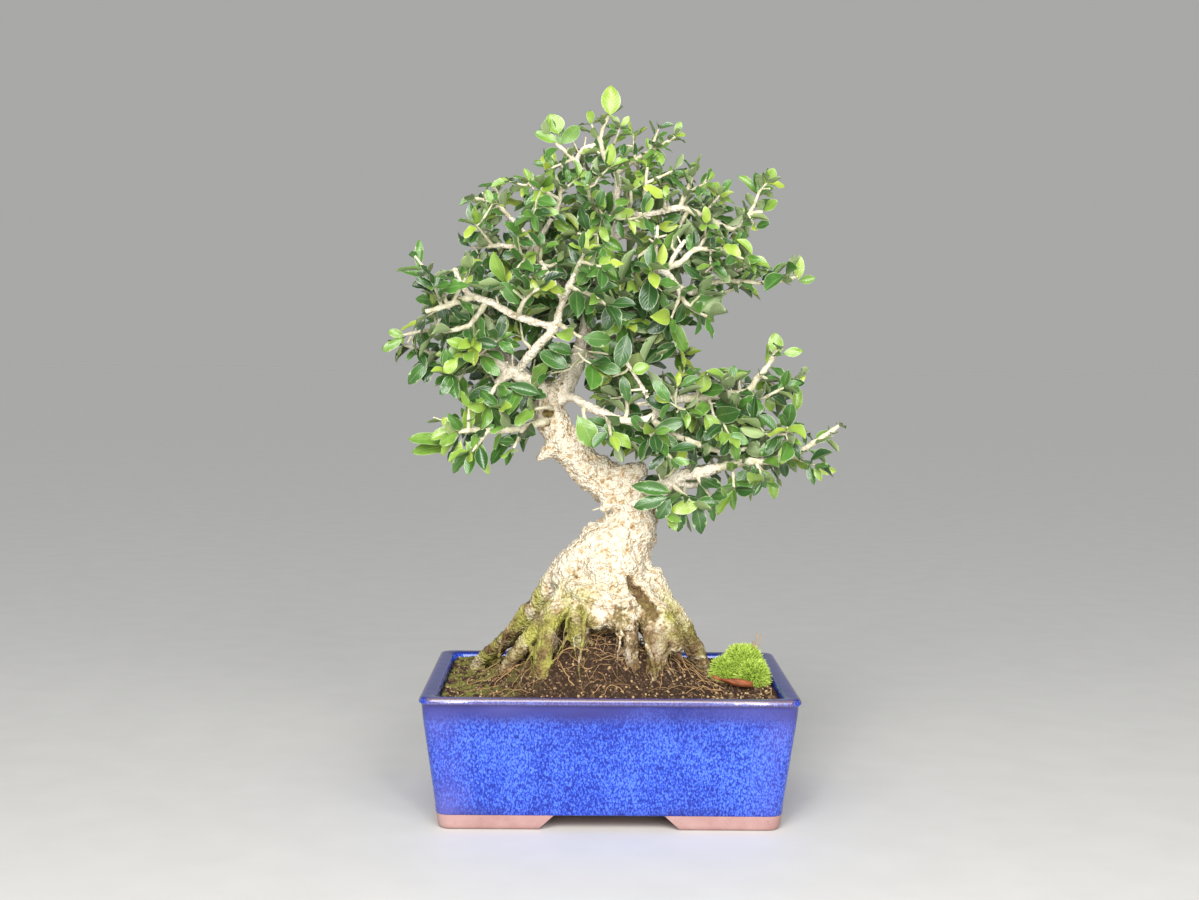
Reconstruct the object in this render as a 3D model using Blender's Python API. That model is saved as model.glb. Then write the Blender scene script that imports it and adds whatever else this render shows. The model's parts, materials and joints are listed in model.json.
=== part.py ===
"""Olive bonsai in a rectangular glazed pot: the construction solids.

Metres, +Z up. The thing stands on z = 0, and the origin is under the middle of its box. The pot, the
soil, the wood and each leafy shoot are solids of their own. Wood and shoots follow routes that are
written as the front view shows them: x and z in millimetres on the tree's middle plane, with a depth y
(less than 0 is nearer to the viewer), which seen() turns into real points.
"""

import math
import random

import bmesh
import bpy
from mathutils import Matrix, Vector, noise
from mathutils.bvhtree import BVHTree

MM = 0.001
GAP = 0.3

# Pot, in millimetres
RIM_SIZE = (200.0, 150.0)
POT_HEIGHT = 71.2
RIM_BAND = 3.5
RIM_PROUD = 1.0
RIM_WIDTH = 8.5
FOOT_SIZE = (180.2, 130.2)
FOOT_HEIGHT = 8.0
FOOT_RING = 11.0
FLOOR_THICK = 7.0
FLOOR_WALL = 8.0
CORNER_RADIUS = 7.0
CORNER_STEPS = 4
FRONT_GAP = (75.0, 58.0)
SIDE_GAP = (56.0, 42.0)
DRAIN_X = 45.0
DRAIN_RADIUS = 9.0
MESH_SIZE = 34.0
MESH_THICK = 1.0
MESH_PITCH = 9.0
MESH_HOLE = 6.0

# Soil, moss and the fallen leaf
SOIL_EDGE = 66.0
SOIL_MOUNDS = ((-3.0, 0.0, 30.0, 26.0, 29.0), (-40.0, 8.0, 15.0, 18.0, 12.0), (35.0, 2.0, 14.0, 18.0, 11.0))
SOIL_GRID = (13, 10)
SOIL_RIPPLE = 0.9
SOCKET_CLEARANCE = 0.8
MOSS_LUMPS = (
    (76.0, -12.0, 69.0, 14.0, 13.0, 16.0),
    (65.5, -16.0, 68.0, 9.5, 9.0, 9.0),
    (79.0, -24.0, 68.0, 9.5, 8.0, 10.0),
)
MOSS_UNDERSIDE = 67.4
MOSS_PLUG = (75.0, -14.0, 8.0, 63.0)
MOSS_SEAT = (74.0, -15.0, 23.0)
DRY_LEAF = ((58.0, -38.0), (78.0, -33.0))
DRY_LEAF_WIDTH = 8.0

# Where the front view is seen from, in millimetres
EYE = Vector((-15.0, -969.4, 249.0))

# Wood routes: front-view x and z, depth y, radius, all in millimetres
WOOD = {
    "trunk": [
        (-2, 84, 0, 14), (-3, 96, 0, 21), (-4, 108, 0, 26), (-3, 118, 0, 27.5), (-1, 129, 0, 25.5),
        (3, 140, 0, 21.5), (8, 148, 0, 17.5), (13, 155, 0, 13.6), (14.5, 161, 0, 12.8), (12, 168, 0, 12.5),
        (6, 174, 0, 12), (-3, 180, 0, 11.3), (-12, 187, 0, 10.6), (-21, 195, 0, 10), (-28, 204, 0, 9.2),
        (-33, 214, 0, 8.6), (-34, 224, 0, 7.6), (-32, 231, 0, 6),
    ],
    "knob": [(-4, 143, -8, 8), (-13, 146, -12, 4.5)],
    "nub_high": [(-33, 197, -4, 5), (-40, 191, -5, 2)],
    "nub_low": [(3, 171, -6, 4.5), (-4, 163, -9, 2.2)],
    "pruned_stub": [(3, 180, -3, 6.5), (10, 184, -5, 5.6), (18, 186, -6, 4.8)],
    "root_far_left": [
        (-20, 134, 2, 9), (-29, 124, 2, 8), (-38, 111, 5, 6.5), (-49, 97, 12, 5.5), (-60, 88, 20, 4.8),
        (-69, 80, 28, 4.2), (-78, 71, 35, 3.4),
    ],
    "root_left": [
        (-14, 126, -12, 9), (-26, 112, -19, 7), (-36, 101, -22, 5.5), (-46, 89, -22, 4.6),
        (-56, 76, -20, 3.8), (-63, 66, -18, 3),
    ],
    "root_front_left": [
        (-24, 112, -20, 7), (-32, 101, -27, 5.6), (-35, 88, -32, 5.4), (-37, 75, -36, 4.8), (-38, 62, -38, 3.6),
    ],
    "root_front": [
        (-8, 118, -16, 10), (-14, 106, -24, 8.5), (-17, 94, -27, 5.5), (-16, 82, -27, 3.6),
    ],
    "root_middle": [
        (4, 116, -18, 9), (8, 103, -25, 7), (12, 90, -31, 4.6), (13, 77, -36, 3.6), (13, 66, -38, 2.8),
    ],
    "root_front_right": [
        (16, 118, -14, 9), (22, 105, -20, 8), (27, 93, -27, 8), (27, 81, -33, 6), (24, 68, -37, 4),
    ],
    "root_right": [
        (20, 125, -4, 9), (30, 111, -6, 7), (39, 99, -7, 6.2), (46, 88, -6, 5.4), (52, 78, -4, 4.6),
        (56, 66, -1, 3.4),
    ],
    "root_back_right": [(10, 116, 15, 10), (22, 100, 27, 8), (33, 86, 37, 6), (40, 72, 44, 4)],
    "root_back": [(-2, 112, 18, 10), (-4, 97, 31, 7.5), (-6, 82, 41, 5), (-7, 70, 46, 3.6)],
    "root_back_left": [(-14, 120, 13, 10), (-24, 103, 26, 7.5), (-34, 88, 37, 5.5), (-42, 74, 45, 3.8)],
    "leader": [
        (-33, 222, 0, 7), (-27, 230, 2, 6.2), (-22, 240, 4, 5.4), (-18, 250, 6, 4.8), (-14, 265, 8, 4.3),
        (-9, 282, 9, 3.9), (-4, 300, 9, 3.5), (-2, 318, 8, 3.2), (1, 333, 6, 2.9), (3, 343, 5, 2.6),
        (2, 351, 4, 2.2),
    ],
    "left_fork": [(-33, 224, 0, 7), (-40, 230, -2, 6), (-48, 236, -6, 5), (-56, 240, -9, 4.2)],
    "left_fork_stub": [(-55, 239, -9, 3.6), (-60, 236, -11, 3), (-63.5, 233, -12, 2.3)],
    "left_fork_end": [(-55, 240, -9, 3.6), (-63, 244, -11, 2.9), (-71, 249, -13, 2.2)],
    "cross_branch": [
        (-52, 239, -8, 3.6), (-46, 248, -18, 3.2), (-38, 257, -26, 3), (-31, 265, -30, 3.5), (-29, 273, -32, 2.9),
        (-26, 282, -35, 2.6), (-22, 291, -39, 2.2), (-20, 295, -41, 2),
    ],
    "left_limb": [
        (-31, 265, -30, 3.2), (-40, 266.5, -30, 2.9), (-49, 269, -29, 2.9), (-58, 273, -28, 2.8),
        (-67, 278, -27, 2.6), (-77, 281.5, -27, 2.6), (-82, 285.5, -27, 2.3), (-87, 296, -27, 2),
    ],
    "upper_left_limb": [
        (-27, 279, -34, 2.4), (-33, 290, -25, 2.3), (-40, 301, -15, 2.3), (-43, 309, -9, 2.5),
        (-52, 308.5, -8, 2), (-64, 309.4, -8, 1.7),
    ],
    "upper_left_rise": [(-43, 309, -9, 2.1), (-37, 319, -5, 1.9), (-31, 328, -1, 1.7)],
    "upper_left_fan": [(-43, 309, -9, 2.1), (-50, 318, -5, 1.9), (-57, 325, -2, 1.7)],
    "crown_left": [(-2, 319, 8, 2.8), (-10, 330, 6, 2.2), (-14, 340, 3, 2), (-17, 349, 1, 1.9), (-20, 356, 0, 1.8)],
    "crown_left_stub": [(-20, 357, 0, 1.7), (-16, 363, 1, 1.7), (-10, 365, 3, 1.5)],
    "right_rung": [
        (-28, 225, 0, 4.5), (-22, 226, -5, 3.4), (-14, 221.5, -13, 3), (-4, 217, -21, 2.8), (8, 213, -26, 2.6),
        (18, 213, -26, 2.5), (27, 218, -22, 2.7), (35, 225, -16, 3), (42, 225.6, -12, 2.8),
    ],
    "bare_twig": [(25, 218, -23, 1.7), (17, 232, -27, 1.5), (8, 246, -29, 1.3)],
    "low_right_branch": [
        (12, 164, -4, 8), (20, 169, -9, 6), (29, 176, -13, 4.8), (38, 182, -15, 4), (50, 184.5, -16, 3.4),
        (60, 187, -17, 3),
    ],
    "low_right_stub": [(36, 179, -15, 2.4), (44, 177, -11, 1.9), (52, 178, -9, 1.6)],
    "middle_limb": [
        (-5, 297, 9, 3), (6, 296, 1, 2.8), (16, 296, -7, 2.6), (28, 296, -13, 2.9), (36, 288, -9, 2.2),
        (44, 284, -6, 2),
    ],
    "middle_rise": [(27, 296, -13, 2.2), (24, 303, -15, 1.9), (24, 311, -15, 1.7), (25, 321, -13, 1.5)],
    "middle_twig": [(30, 296, -13, 2), (34, 304, -14, 1.7), (40, 313, -16, 1.5)],
    "crown_right": [(0, 328, 7, 2.8), (7, 328, 1, 2.4), (14, 327, -4, 2.3), (22, 327.5, -7, 2.2), (31, 330, -10, 2.2),
                    (38, 331, -11, 2.1), (42, 330.5, -11, 2)],
    "back_low_left": [(-30, 207, 3, 6), (-36, 213, 20, 4), (-44, 221, 36, 3)],
    "back_leader": [(-18, 250, 6, 4.4), (-10, 254, 20, 3.3), (2, 258, 34, 2.6)],
    "back_left": [(-10, 279, 9, 3.6), (-20, 286, 24, 2.8), (-32, 292, 40, 2.2)],
    "back_right": [(-2, 312, 8, 3.1), (8, 318, 22, 2.5), (20, 323, 36, 2)],
    "back_top": [(0, 330, 6, 2.6), (-6, 338, 18, 2.1), (-12, 344, 28, 1.7)],
    "back_neck": [(14, 165, 6, 7.5), (24, 174, 20, 4.6), (38, 182, 33, 3.2), (50, 187, 43, 2.4)],
    "back_far_left": [(-46, 234, -5, 4), (-56, 245, 12, 2.8), (-66, 253, 28, 2.2)],
    "back_middle": [(-6, 296, 10, 3.2), (6, 290, 24, 2.6), (22, 286, 38, 2.2), (38, 284, 48, 1.8)],
}

# Leafy shoots: each stem is a route of front-view x, z and depth y, its foot radius, and its leaf length.
# The first stem grows from the wood, and the others from an earlier stem. No leaf length is a bare stem.
SHOOTS = {
    "top_leader": [
        ([(2, 350, 4), (-4, 357, 4), (-6.5, 365, 3), (-6, 373, 2), (-2.5, 381, 1)], 1.8, 18),
        ([(-6.3, 364, 3), (-12, 376, 5)], 1.0, 13),
        ([(-3, 356, 4), (3.5, 374, -3)], 1.0, 12),
    ],
    "top_right": [
        ([(2, 349, 4), (9, 355, 2), (18, 360, 0), (27, 365, -1), (34, 370, -2)], 1.9, 12),
        ([(20, 361, 0), (25, 374, -4)], 1.1, 12),
        ([(12, 357, 1), (11, 371, 10)], 1.1, 12),
    ],
    "top_middle": [
        ([(20, 327, -6), (18, 336, -12), (18, 345, -14), (19, 353, -14)], 1.5, 13),
        ([(18, 344, -14), (33, 351, -18)], 1.1, 12),
    ],
    "top_left": [
        ([(-20, 355, 0), (-26, 361, -2), (-31, 365, -4), (-34, 369, -5)], 1.5, 17),
        ([(-22, 357, -1), (-34, 352, -9)], 1.0, 12),
    ],
    "crown_front": [([(-10, 330, 6), (-13, 337, -7), (-14, 343, -14)], 1.4, 12)],
    "crown_leader_front": [([(-2, 321, 8), (-6, 326, -6), (-8, 330, -14)], 1.4, 16)],
    "crown_front_right": [([(8, 328, 0), (10, 334, -12), (10, 340, -18)], 1.4, 14)],
    "left_shoulder": [
        ([(-31, 328, -1), (-29, 337, -2), (-31, 346, -4), (-36, 352, -6)], 1.5, 14),
        ([(-29.5, 338, -2.5), (-19, 347, -10)], 1.0, 12),
        ([(-29.5, 335, -2), (-46, 344, -5)], 1.1, 14),
    ],
    "left_shoulder_outer": [
        ([(-57, 325, -2), (-63, 331, -4), (-70, 334, -6), (-76, 335, -7)], 1.5, 14),
        ([(-60, 328, -3), (-65, 343, 0)], 1.1, 14),
    ],
    "upper_left_tip": [
        ([(-62, 309.3, -8), (-70, 308.7, -8), (-78, 308, -9)], 1.5, 13),
        ([(-66, 309, -8), (-75, 320, -18)], 1.1, 15),
    ],
    "left_tip": [
        ([(-77, 281, -27), (-86, 278, -28), (-94, 275, -28), (-103, 272.5, -28)], 2.2, 0),
        ([(-88.5, 277, -28), (-79, 295, -38)], 1.1, 13),
        ([(-91, 276, -28), (-95, 286, -25), (-101, 293, -23), (-109, 303, -21)], 1.2, 14),
        ([(-94, 275, -28), (-98, 286, -39)], 1.1, 16),
        ([(-96, 274.5, -28), (-106, 268, -20)], 1.1, 14),
    ],
    "left_low": [
        ([(-69, 279, -27), (-74, 271, -21), (-79, 264, -20), (-77, 257, -26)], 1.9, 13),
        ([(-78.5, 265, -20.2), (-90, 262, -18), (-103, 262, -15), (-117, 259, -12)], 1.5, 13),
    ],
    "left_rosette": [
        ([(-71, 249, -13), (-75, 250, -21), (-79, 251, -28)], 1.7, 16),
        ([(-73, 249.5, -18), (-63, 257, -28)], 1.1, 13),
    ],
    "left_long_low": [
        ([(-64, 244, -11), (-70, 244, -5), (-80, 246, -2), (-92, 248, 0), (-105, 251, 1), (-115, 254, 1)], 1.7, 15),
        ([(-76, 245, -3), (-85, 235, -11)], 1.1, 15),
    ],
    "left_drop": [([(-62, 234, -12), (-66, 228, -17), (-68, 221, -20)], 1.5, 15)],
    "low_left": [
        ([(-34, 213, -4), (-45, 210, -14), (-55, 207.5, -19), (-66, 206.5, -23), (-76, 207, -26),
          (-85, 206, -30)], 2.3, 17),
        ([(-79, 207, -27.5), (-79, 219, -27)], 1.1, 14),
        ([(-68, 206.6, -23.7), (-77, 195, -34)], 1.2, 16),
        ([(-57, 207.3, -19.7), (-62, 219, -28)], 1.2, 14),
        ([(-48, 209.3, -15.5), (-54, 197, -24)], 1.2, 14),
    ],
    "trunk_front": [([(-44, 233, -4), (-46, 230, -16), (-50, 230, -23)], 1.4, 17)],
    "trunk_fork": [([(-31, 219, -3), (-36, 220, -15), (-42, 219, -21)], 1.4, 15)],
    "bright_rosette": [
        ([(-20, 295, -41), (-18, 300, -46), (-16, 305, -50)], 1.6, 13),
        ([(-17.6, 301, -46.8), (-6, 298, -53)], 1.1, 13),
    ],
    "middle_front": [([(-24, 287, -37), (-17, 285, -44), (-9, 281, -50), (-3, 277, -54)], 1.5, 16)],
    "middle_low": [([(-30, 267, -31), (-24, 263, -40), (-17, 259, -46)], 1.5, 16)],
    "middle_left": [([(-52, 270.3, -29), (-50, 276, -38), (-46, 282, -44), (-40, 286, -48)], 1.5, 16)],
    "inner_left": [([(-44, 309, -9), (-48, 302, -18), (-52, 297, -24), (-57, 293, -28)], 1.4, 15)],
    "leader_right": [([(-9, 281, 9), (-2, 280, -6), (5, 273, -16), (8, 266, -22)], 1.6, 17)],
    "middle_right": [([(12, 296, -4), (13, 291, -16), (15, 286, -23)], 1.5, 16)],
    "gap_fringe": [([(-15, 262, 7), (-5, 258, 0), (6, 257, -3), (17, 258, -3), (25, 257, -2)], 1.6, 13)],
    "lime_low": [([(-17, 252, 6), (-9, 247, -5), (-1, 244, -10), (7, 242, -12)], 1.5, 14)],
    "middle_under": [([(-15, 222, -12), (-15, 216, -21), (-13, 210, -25)], 1.4, 19)],
    "middle_under_right": [([(-3, 217, -22), (-1, 211, -27), (0, 205, -29)], 1.3, 17)],
    "middle_rosette": [
        ([(14, 213, -26), (19, 209, -34), (24, 206, -39)], 1.5, 16),
        ([(20, 208.4, -35), (34, 192, -43)], 1.2, 14),
    ],
    "middle_upper": [([(8, 213, -26), (9, 221, -19), (8, 229, -15), (5, 236, -13)], 1.4, 13)],
    "right_middle": [
        ([(22, 215, -24), (31, 207, -21), (41, 203, -20), (51, 199.5, -19), (60, 196.5, -18), (68, 196.5, -17),
          (76, 198, -16)], 2.0, 14),
    ],
    "right_upper": [
        ([(40, 225.5, -13), (50, 226, -10), (63, 228, -8), (76, 230, -8), (81, 237, -9), (87, 244, -10),
          (92, 253, -11)], 2.4, 14),
        ([(48, 226, -10.6), (49, 239, -21)], 1.2, 16),
        ([(54, 226.6, -9.4), (58, 214, -19)], 1.2, 18),
        ([(62, 227.8, -8.1), (65, 240, 0)], 1.2, 13),
        ([(75, 229.8, -8), (83, 226, -13), (90, 229, -17), (96, 232, -19)], 1.2, 13),
    ],
    "right_low": [
        ([(58, 186.6, -17), (73, 190, -19), (82, 191, -20), (90, 191, -20), (102, 194.5, -20), (111, 200, -19),
          (120, 206, -18), (127, 211, -17)], 2.3, 13),
        ([(68, 188.9, -18.3), (69, 175, -27)], 1.2, 16),
        ([(81, 191, -20), (85, 180, -29)], 1.2, 14),
        ([(84, 191, -20), (85, 205, -12)], 1.2, 14),
        ([(95, 192.4, -20), (99, 209, -14)], 1.1, 13),
        ([(101, 194, -20), (114, 189, -28)], 1.1, 14),
    ],
    "neck_right": [([(23, 171.5, -10), (28, 168, -20), (32, 163, -25)], 1.5, 16)],
    "neck_right_low": [([(33, 178.5, -14), (40, 173, -21), (46, 167, -26)], 1.5, 17)],
    "neck_front": [([(18, 168, -8), (18, 174, -20), (17, 179, -26)], 1.4, 15)],
    "low_right_down": [([(47, 184, -16), (52, 177, -22), (56, 171, -26)], 1.4, 16)],
    "low_right_up": [([(42, 183, -15), (45, 190, -8), (48, 196, -4)], 1.4, 15)],
    "crown_right_up": [
        ([(37, 331, -11), (40, 338, -14), (43, 345, -16), (44, 351, -17)], 1.4, 15),
        ([(40.5, 339, -14.5), (52, 345, -22)], 1.0, 14),
    ],
    "crown_right_tip": [
        ([(40, 330.7, -11), (52, 325.5, -9), (60, 321.5, -7), (67, 319.5, -6), (72, 324, -7), (76, 328, -8),
          (83, 329, -9)], 1.9, 13),
        ([(50, 326.4, -9.3), (59, 338, -20)], 1.1, 14),
        ([(75, 327, -7.8), (79, 335, -10), (81, 340, -11), (85, 345, -12)], 1.2, 14),
        ([(58, 322.5, -7.5), (61, 311, -19)], 1.1, 14),
    ],
    "middle_right_upper": [
        ([(31, 298, -13), (38, 301, -16), (46, 308, -17), (57, 308, -18), (70, 309.5, -19)], 1.8, 13),
        ([(47, 308, -17), (54, 318, -10)], 1.2, 0),
        ([(60, 308.4, -18.2), (73, 303, -29)], 1.1, 13),
    ],
    "middle_right_long": [
        ([(44, 284, -6), (50, 286, -4), (56, 290, -3), (66, 291, -3), (80, 290, -4), (94, 291, -6),
          (103, 294, -8)], 1.8, 14),
        ([(60, 290.6, -3), (76, 300, -12)], 1.2, 13),
    ],
    "middle_right_low": [
        ([(36, 288, -9), (39, 281, -15), (45, 275, -20), (53, 271, -23)], 1.6, 17),
        ([(38, 283, -13.5), (33, 270, -26)], 1.2, 17),
    ],
    "upper_middle": [([(24, 311, -15), (19, 307, -24), (13, 303, -30)], 1.4, 16)],
    "back_low_left": [
        ([(-43, 220, 34), (-50, 225, 46), (-58, 229, 57), (-64, 236, 64)], 1.7, 16),
        ([(-48, 223, 42), (-38, 236, 56)], 1.2, 15),
    ],
    "back_leader": [
        ([(1, 257.5, 32), (10, 258, 44), (20, 256, 54), (30, 252, 62)], 1.7, 16),
        ([(7, 258, 40), (2, 244, 58)], 1.2, 15),
    ],
    "back_left": [
        ([(-30, 291, 38), (-40, 296, 50), (-50, 302, 58), (-60, 306, 62)], 1.7, 16),
        ([(-36, 294, 45), (-32, 310, 60)], 1.2, 15),
    ],
    "back_right": [
        ([(18, 322, 34), (28, 328, 44), (38, 332, 50), (48, 336, 54)], 1.6, 15),
        ([(24, 325.6, 40), (18, 342, 50)], 1.1, 14),
    ],
    "back_top": [
        ([(-11, 343, 26), (-18, 349, 34), (-26, 352, 40), (-34, 354, 44)], 1.5, 14),
        ([(-15, 346.5, 31), (-6, 361, 38)], 1.1, 13),
    ],
    "back_neck": [
        ([(48, 186.5, 41), (58, 188, 50), (68, 190, 56), (80, 196, 60)], 1.8, 15),
        ([(58, 188, 50), (48, 204, 60)], 1.2, 15),
    ],
    "back_far_left": [
        ([(-65, 252.4, 26), (-75, 258, 36), (-86, 264, 44), (-96, 268, 48)], 1.7, 15),
        ([(-72, 256, 33), (-68, 273, 48)], 1.2, 15),
    ],
    "back_middle": [
        ([(36, 284, 46), (48, 282, 52), (60, 284, 54), (72, 288, 54)], 1.6, 15),
        ([(43, 283, 50), (46, 299, 62)], 1.1, 14),
    ],
}

# Growth of the leaves, lengths in millimetres and angles in degrees
SEED = 41
STUB_CLEAR = 1.6
STEM_TIP = 0.55
FIRST_PAIR = 0.34
PAIR_SPACING = 1.0
PAIR_SPREAD = (50.0, 72.0)
TIP_SPREAD = (26.0, 44.0)
LENGTH_RANGE = (0.78, 1.16)
WIDTH_RANGE = (0.40, 0.50)
BEND_RANGE = (-0.04, 0.16)
LEAF_TRIES = 7
LEAF_KEEL = 0.85
ROOT_HALF = 0.5
ROOT_STAGGER = 0.9
ROOT_SUNK = 0.25
BLADE_WIDTHS = ((0.36, 0.95), (0.72, 0.88))
TEST_MARGIN = 0.45
TEST_START = 0.16


def seen(x, z, y):
    """The real point, in millimetres, that the front view shows at (x, z) and that lies at depth y."""
    far = (y - EYE.y) / -EYE.y
    return Vector((EYE.x + (x - EYE.x) * far, y, EYE.z + (z - EYE.z) * far))


def wood_route(name):
    """Points of a wood route as 4-vectors: real x, y, z and the radius."""
    return [Vector((*seen(x, z, y), r)) for x, z, y, r in WOOD[name]]


def wood_gap(point, segments):
    """Distance from a point to the nearest wood surface, less than 0 inside it."""
    best = math.inf
    for a, b in segments:
        span = b.xyz - a.xyz
        t = min(1.0, max(0.0, (point - a.xyz).dot(span) / span.length_squared))
        best = min(best, (a.xyz + span * t - point).length - (a.w + (b.w - a.w) * t))
    return best


def resample(route, start):
    """The part of a polyline past a distance, and the part before it."""
    before, after, run = [route[0]], [], 0.0
    for a, b in zip(route, route[1:]):
        length = (b - a).length
        if after:
            after.append(b)
        elif run + length > start:
            cut = a.lerp(b, (start - run) / length)
            before.append(cut)
            after = [cut, b]
        else:
            before.append(b)
        run += length
    return before, after


def split_at_wood(route, segments):
    """Cut a shoot's first stem where it leaves the wood: a stub of the wood, and the shoot's own stem."""
    step, run = 0.25, 0.0
    length = sum((b - a).length for a, b in zip(route, route[1:]))
    while run < length:
        _, rest = resample(route, run)
        if wood_gap(rest[0], segments) > STUB_CLEAR:
            break
        run += step
    stub, _ = resample(route, run)
    _, stem = resample(route, run + GAP)
    return stub, stem


def blade_rings(length, width, bend, root, margin=0.0):
    """Cross-sections of a leaf along +X, its upper face towards +Z, and its tip point."""
    def section(t, half):
        sag = -bend * length * t * t
        edge = [(t * length, half + margin, sag), (t * length, -half - margin, sag)]
        keel = [(t * length, 0.0, sag - LEAF_KEEL - margin)]
        ridge = [(t * length, 0.0, sag + margin)] if margin else []
        return [edge[0], *ridge, edge[1], *keel]

    rings = [section(root, ROOT_HALF)]
    rings += [section(t, width / 2 * share) for t, share in BLADE_WIDTHS]
    return rings, (length, 0.0, -bend * length)


def loft(rings, tip):
    """Vertices and faces of a closed body over rings of equal count, ending in a point."""
    count = len(rings[0])
    verts = [p for ring in rings for p in ring] + [tip]
    faces = [tuple(reversed(range(count)))]
    for r in range(len(rings) - 1):
        for k in range(count):
            a, b = r * count + k, r * count + (k + 1) % count
            faces.append((a, b, b + count, a + count))
    last = (len(rings) - 1) * count
    faces += [(last + k, last + (k + 1) % count, len(verts) - 1) for k in range(count)]
    return verts, faces


class Leaf:
    """One leaf: where it sits, which way it points, and its size."""

    def __init__(self, origin, along, face, length, width, bend):
        self.origin = origin
        self.along = along
        self.across = face.cross(along).normalized()
        self.face = along.cross(self.across).normalized()
        self.length, self.width, self.bend = length, width, bend

    def place(self, point):
        """A point of the leaf's own frame in the tree's frame."""
        x, y, z = point
        return self.origin + self.along * x + self.across * y + self.face * z

    def body(self, margin=0.0):
        """Vertices and faces of the blade, or of the room that it needs round it."""
        rings, tip = blade_rings(self.length, self.width, self.bend, TEST_START if margin else 0.0, margin)
        verts, faces = loft(rings, tip)
        return [self.place(p) for p in verts], faces


class Crowd:
    """What is already placed, for a test of whether something new would cross it."""

    def __init__(self):
        self.trees = []

    def add(self, verts, faces, owner=None):
        low = Vector([min(v[i] for v in verts) for i in range(3)])
        high = Vector([max(v[i] for v in verts) for i in range(3)])
        self.trees.append((low, high, BVHTree.FromPolygons(verts, faces), owner))

    def crossed(self, verts, faces, owner=None):
        """Whether the body crosses one that isn't its owner's own stem."""
        low = Vector([min(v[i] for v in verts) for i in range(3)])
        high = Vector([max(v[i] for v in verts) for i in range(3)])
        tree = BVHTree.FromPolygons(verts, faces)
        for a, b, other, whose in self.trees:
            apart = any(a[i] > high[i] or b[i] < low[i] for i in range(3))
            if not apart and not (owner and whose == owner) and tree.overlap(other):
                return True
        return False


def leaf_pairs(route, leaf_length):
    """Stations of opposite leaf pairs along a stem: point, direction, and whether it is the tip."""
    length = sum((b - a).length for a, b in zip(route, route[1:]))
    spacing = leaf_length * PAIR_SPACING
    count = int((1 - FIRST_PAIR) * length / spacing)
    for k in range(count + 1):
        share = 1 - (1 - FIRST_PAIR) * (count - k) / max(1, count)
        before, after = resample(route, min(share * length, length - 0.6))
        yield after[0], (after[1] - after[0]).normalized(), k == count


def grow_leaves(name, route, leaf_length, rng, crowd):
    """Leaves of one stem: pairs, each a quarter turn from the last, kept where they cross nothing."""
    turn = rng.uniform(0, math.tau)
    leaves = []
    for point, ahead, is_tip in leaf_pairs(route, leaf_length):
        turn += math.pi / 2
        side = ahead.orthogonal().normalized()
        for half in (0, 1):
            for attempt in range(LEAF_TRIES):
                loose = 0.25 + 0.12 * attempt
                angle = turn + half * math.pi + rng.uniform(-loose, loose)
                out = side * math.cos(angle) + ahead.cross(side) * math.sin(angle)
                spread = math.radians(rng.uniform(*(TIP_SPREAD if is_tip else PAIR_SPREAD)))
                along = ahead * math.cos(spread) + out * math.sin(spread)
                up = Vector((rng.uniform(-0.4, 0.4), -0.45 + rng.uniform(-0.3, 0.3), 0.7))
                length = leaf_length * rng.uniform(*LENGTH_RANGE) * (1 - 0.06 * attempt)
                width = length * rng.uniform(*WIDTH_RANGE)
                root = point + ahead * (ROOT_STAGGER * (half - 0.5)) - along * ROOT_SUNK
                leaf = Leaf(root, along, ahead * 0.6 + up, length, width, rng.uniform(*BEND_RANGE))
                if not crowd.crossed(*leaf.body(TEST_MARGIN), owner=name):
                    leaves.append(leaf)
                    crowd.add(*leaf.body())
                    break
    return leaves


def material(name, colour, roughness, metallic=0.0):
    """A plain Principled material."""
    mat = bpy.data.materials.new(name)
    mat.use_nodes = True
    shader = mat.node_tree.nodes["Principled BSDF"]
    shader.inputs["Base Color"].default_value = (*colour, 1.0)
    shader.inputs["Roughness"].default_value = roughness
    shader.inputs["Metallic"].default_value = metallic
    return mat


def new_object(name, mesh, collection, mat=None):
    """Link a mesh as an object of a collection."""
    obj = bpy.data.objects.new(name, mesh)
    if mat:
        mesh.materials.append(mat)
    collection.objects.link(obj)
    return obj


def from_bmesh(name, bm, collection, mat=None):
    """Turn a bmesh into an object."""
    bmesh.ops.recalc_face_normals(bm, faces=bm.faces)
    mesh = bpy.data.meshes.new(name)
    bm.to_mesh(mesh)
    bm.free()
    return new_object(name, mesh, collection, mat)


def tapered_box(name, low, high, z0, z1, radius, collection):
    """A box between two rectangles (width, depth), its upright edges rounded."""
    bm = bmesh.new()
    bmesh.ops.create_cube(bm, size=1.0)
    for v in bm.verts:
        width, depth = high if v.co.z > 0 else low
        v.co = Vector((v.co.x * width, v.co.y * depth, z1 if v.co.z > 0 else z0)) * MM
    if radius:
        upright = [e for e in bm.edges if (e.verts[0].co.z > z0 * MM + 1e-6) != (e.verts[1].co.z > z0 * MM + 1e-6)]
        bmesh.ops.bevel(bm, geom=upright, offset=radius * MM, segments=CORNER_STEPS, profile=0.5, affect="EDGES")
    return from_bmesh(name, bm, collection)


def cylinder(name, x, y, radius, z0, z1, collection):
    """An upright cylinder."""
    bm = bmesh.new()
    bmesh.ops.create_cone(bm, cap_ends=True, segments=24, radius1=radius * MM, radius2=radius * MM,
                          depth=(z1 - z0) * MM)
    bmesh.ops.translate(bm, verts=bm.verts, vec=Vector((x, y, (z0 + z1) / 2)) * MM)
    return from_bmesh(name, bm, collection)


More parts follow.
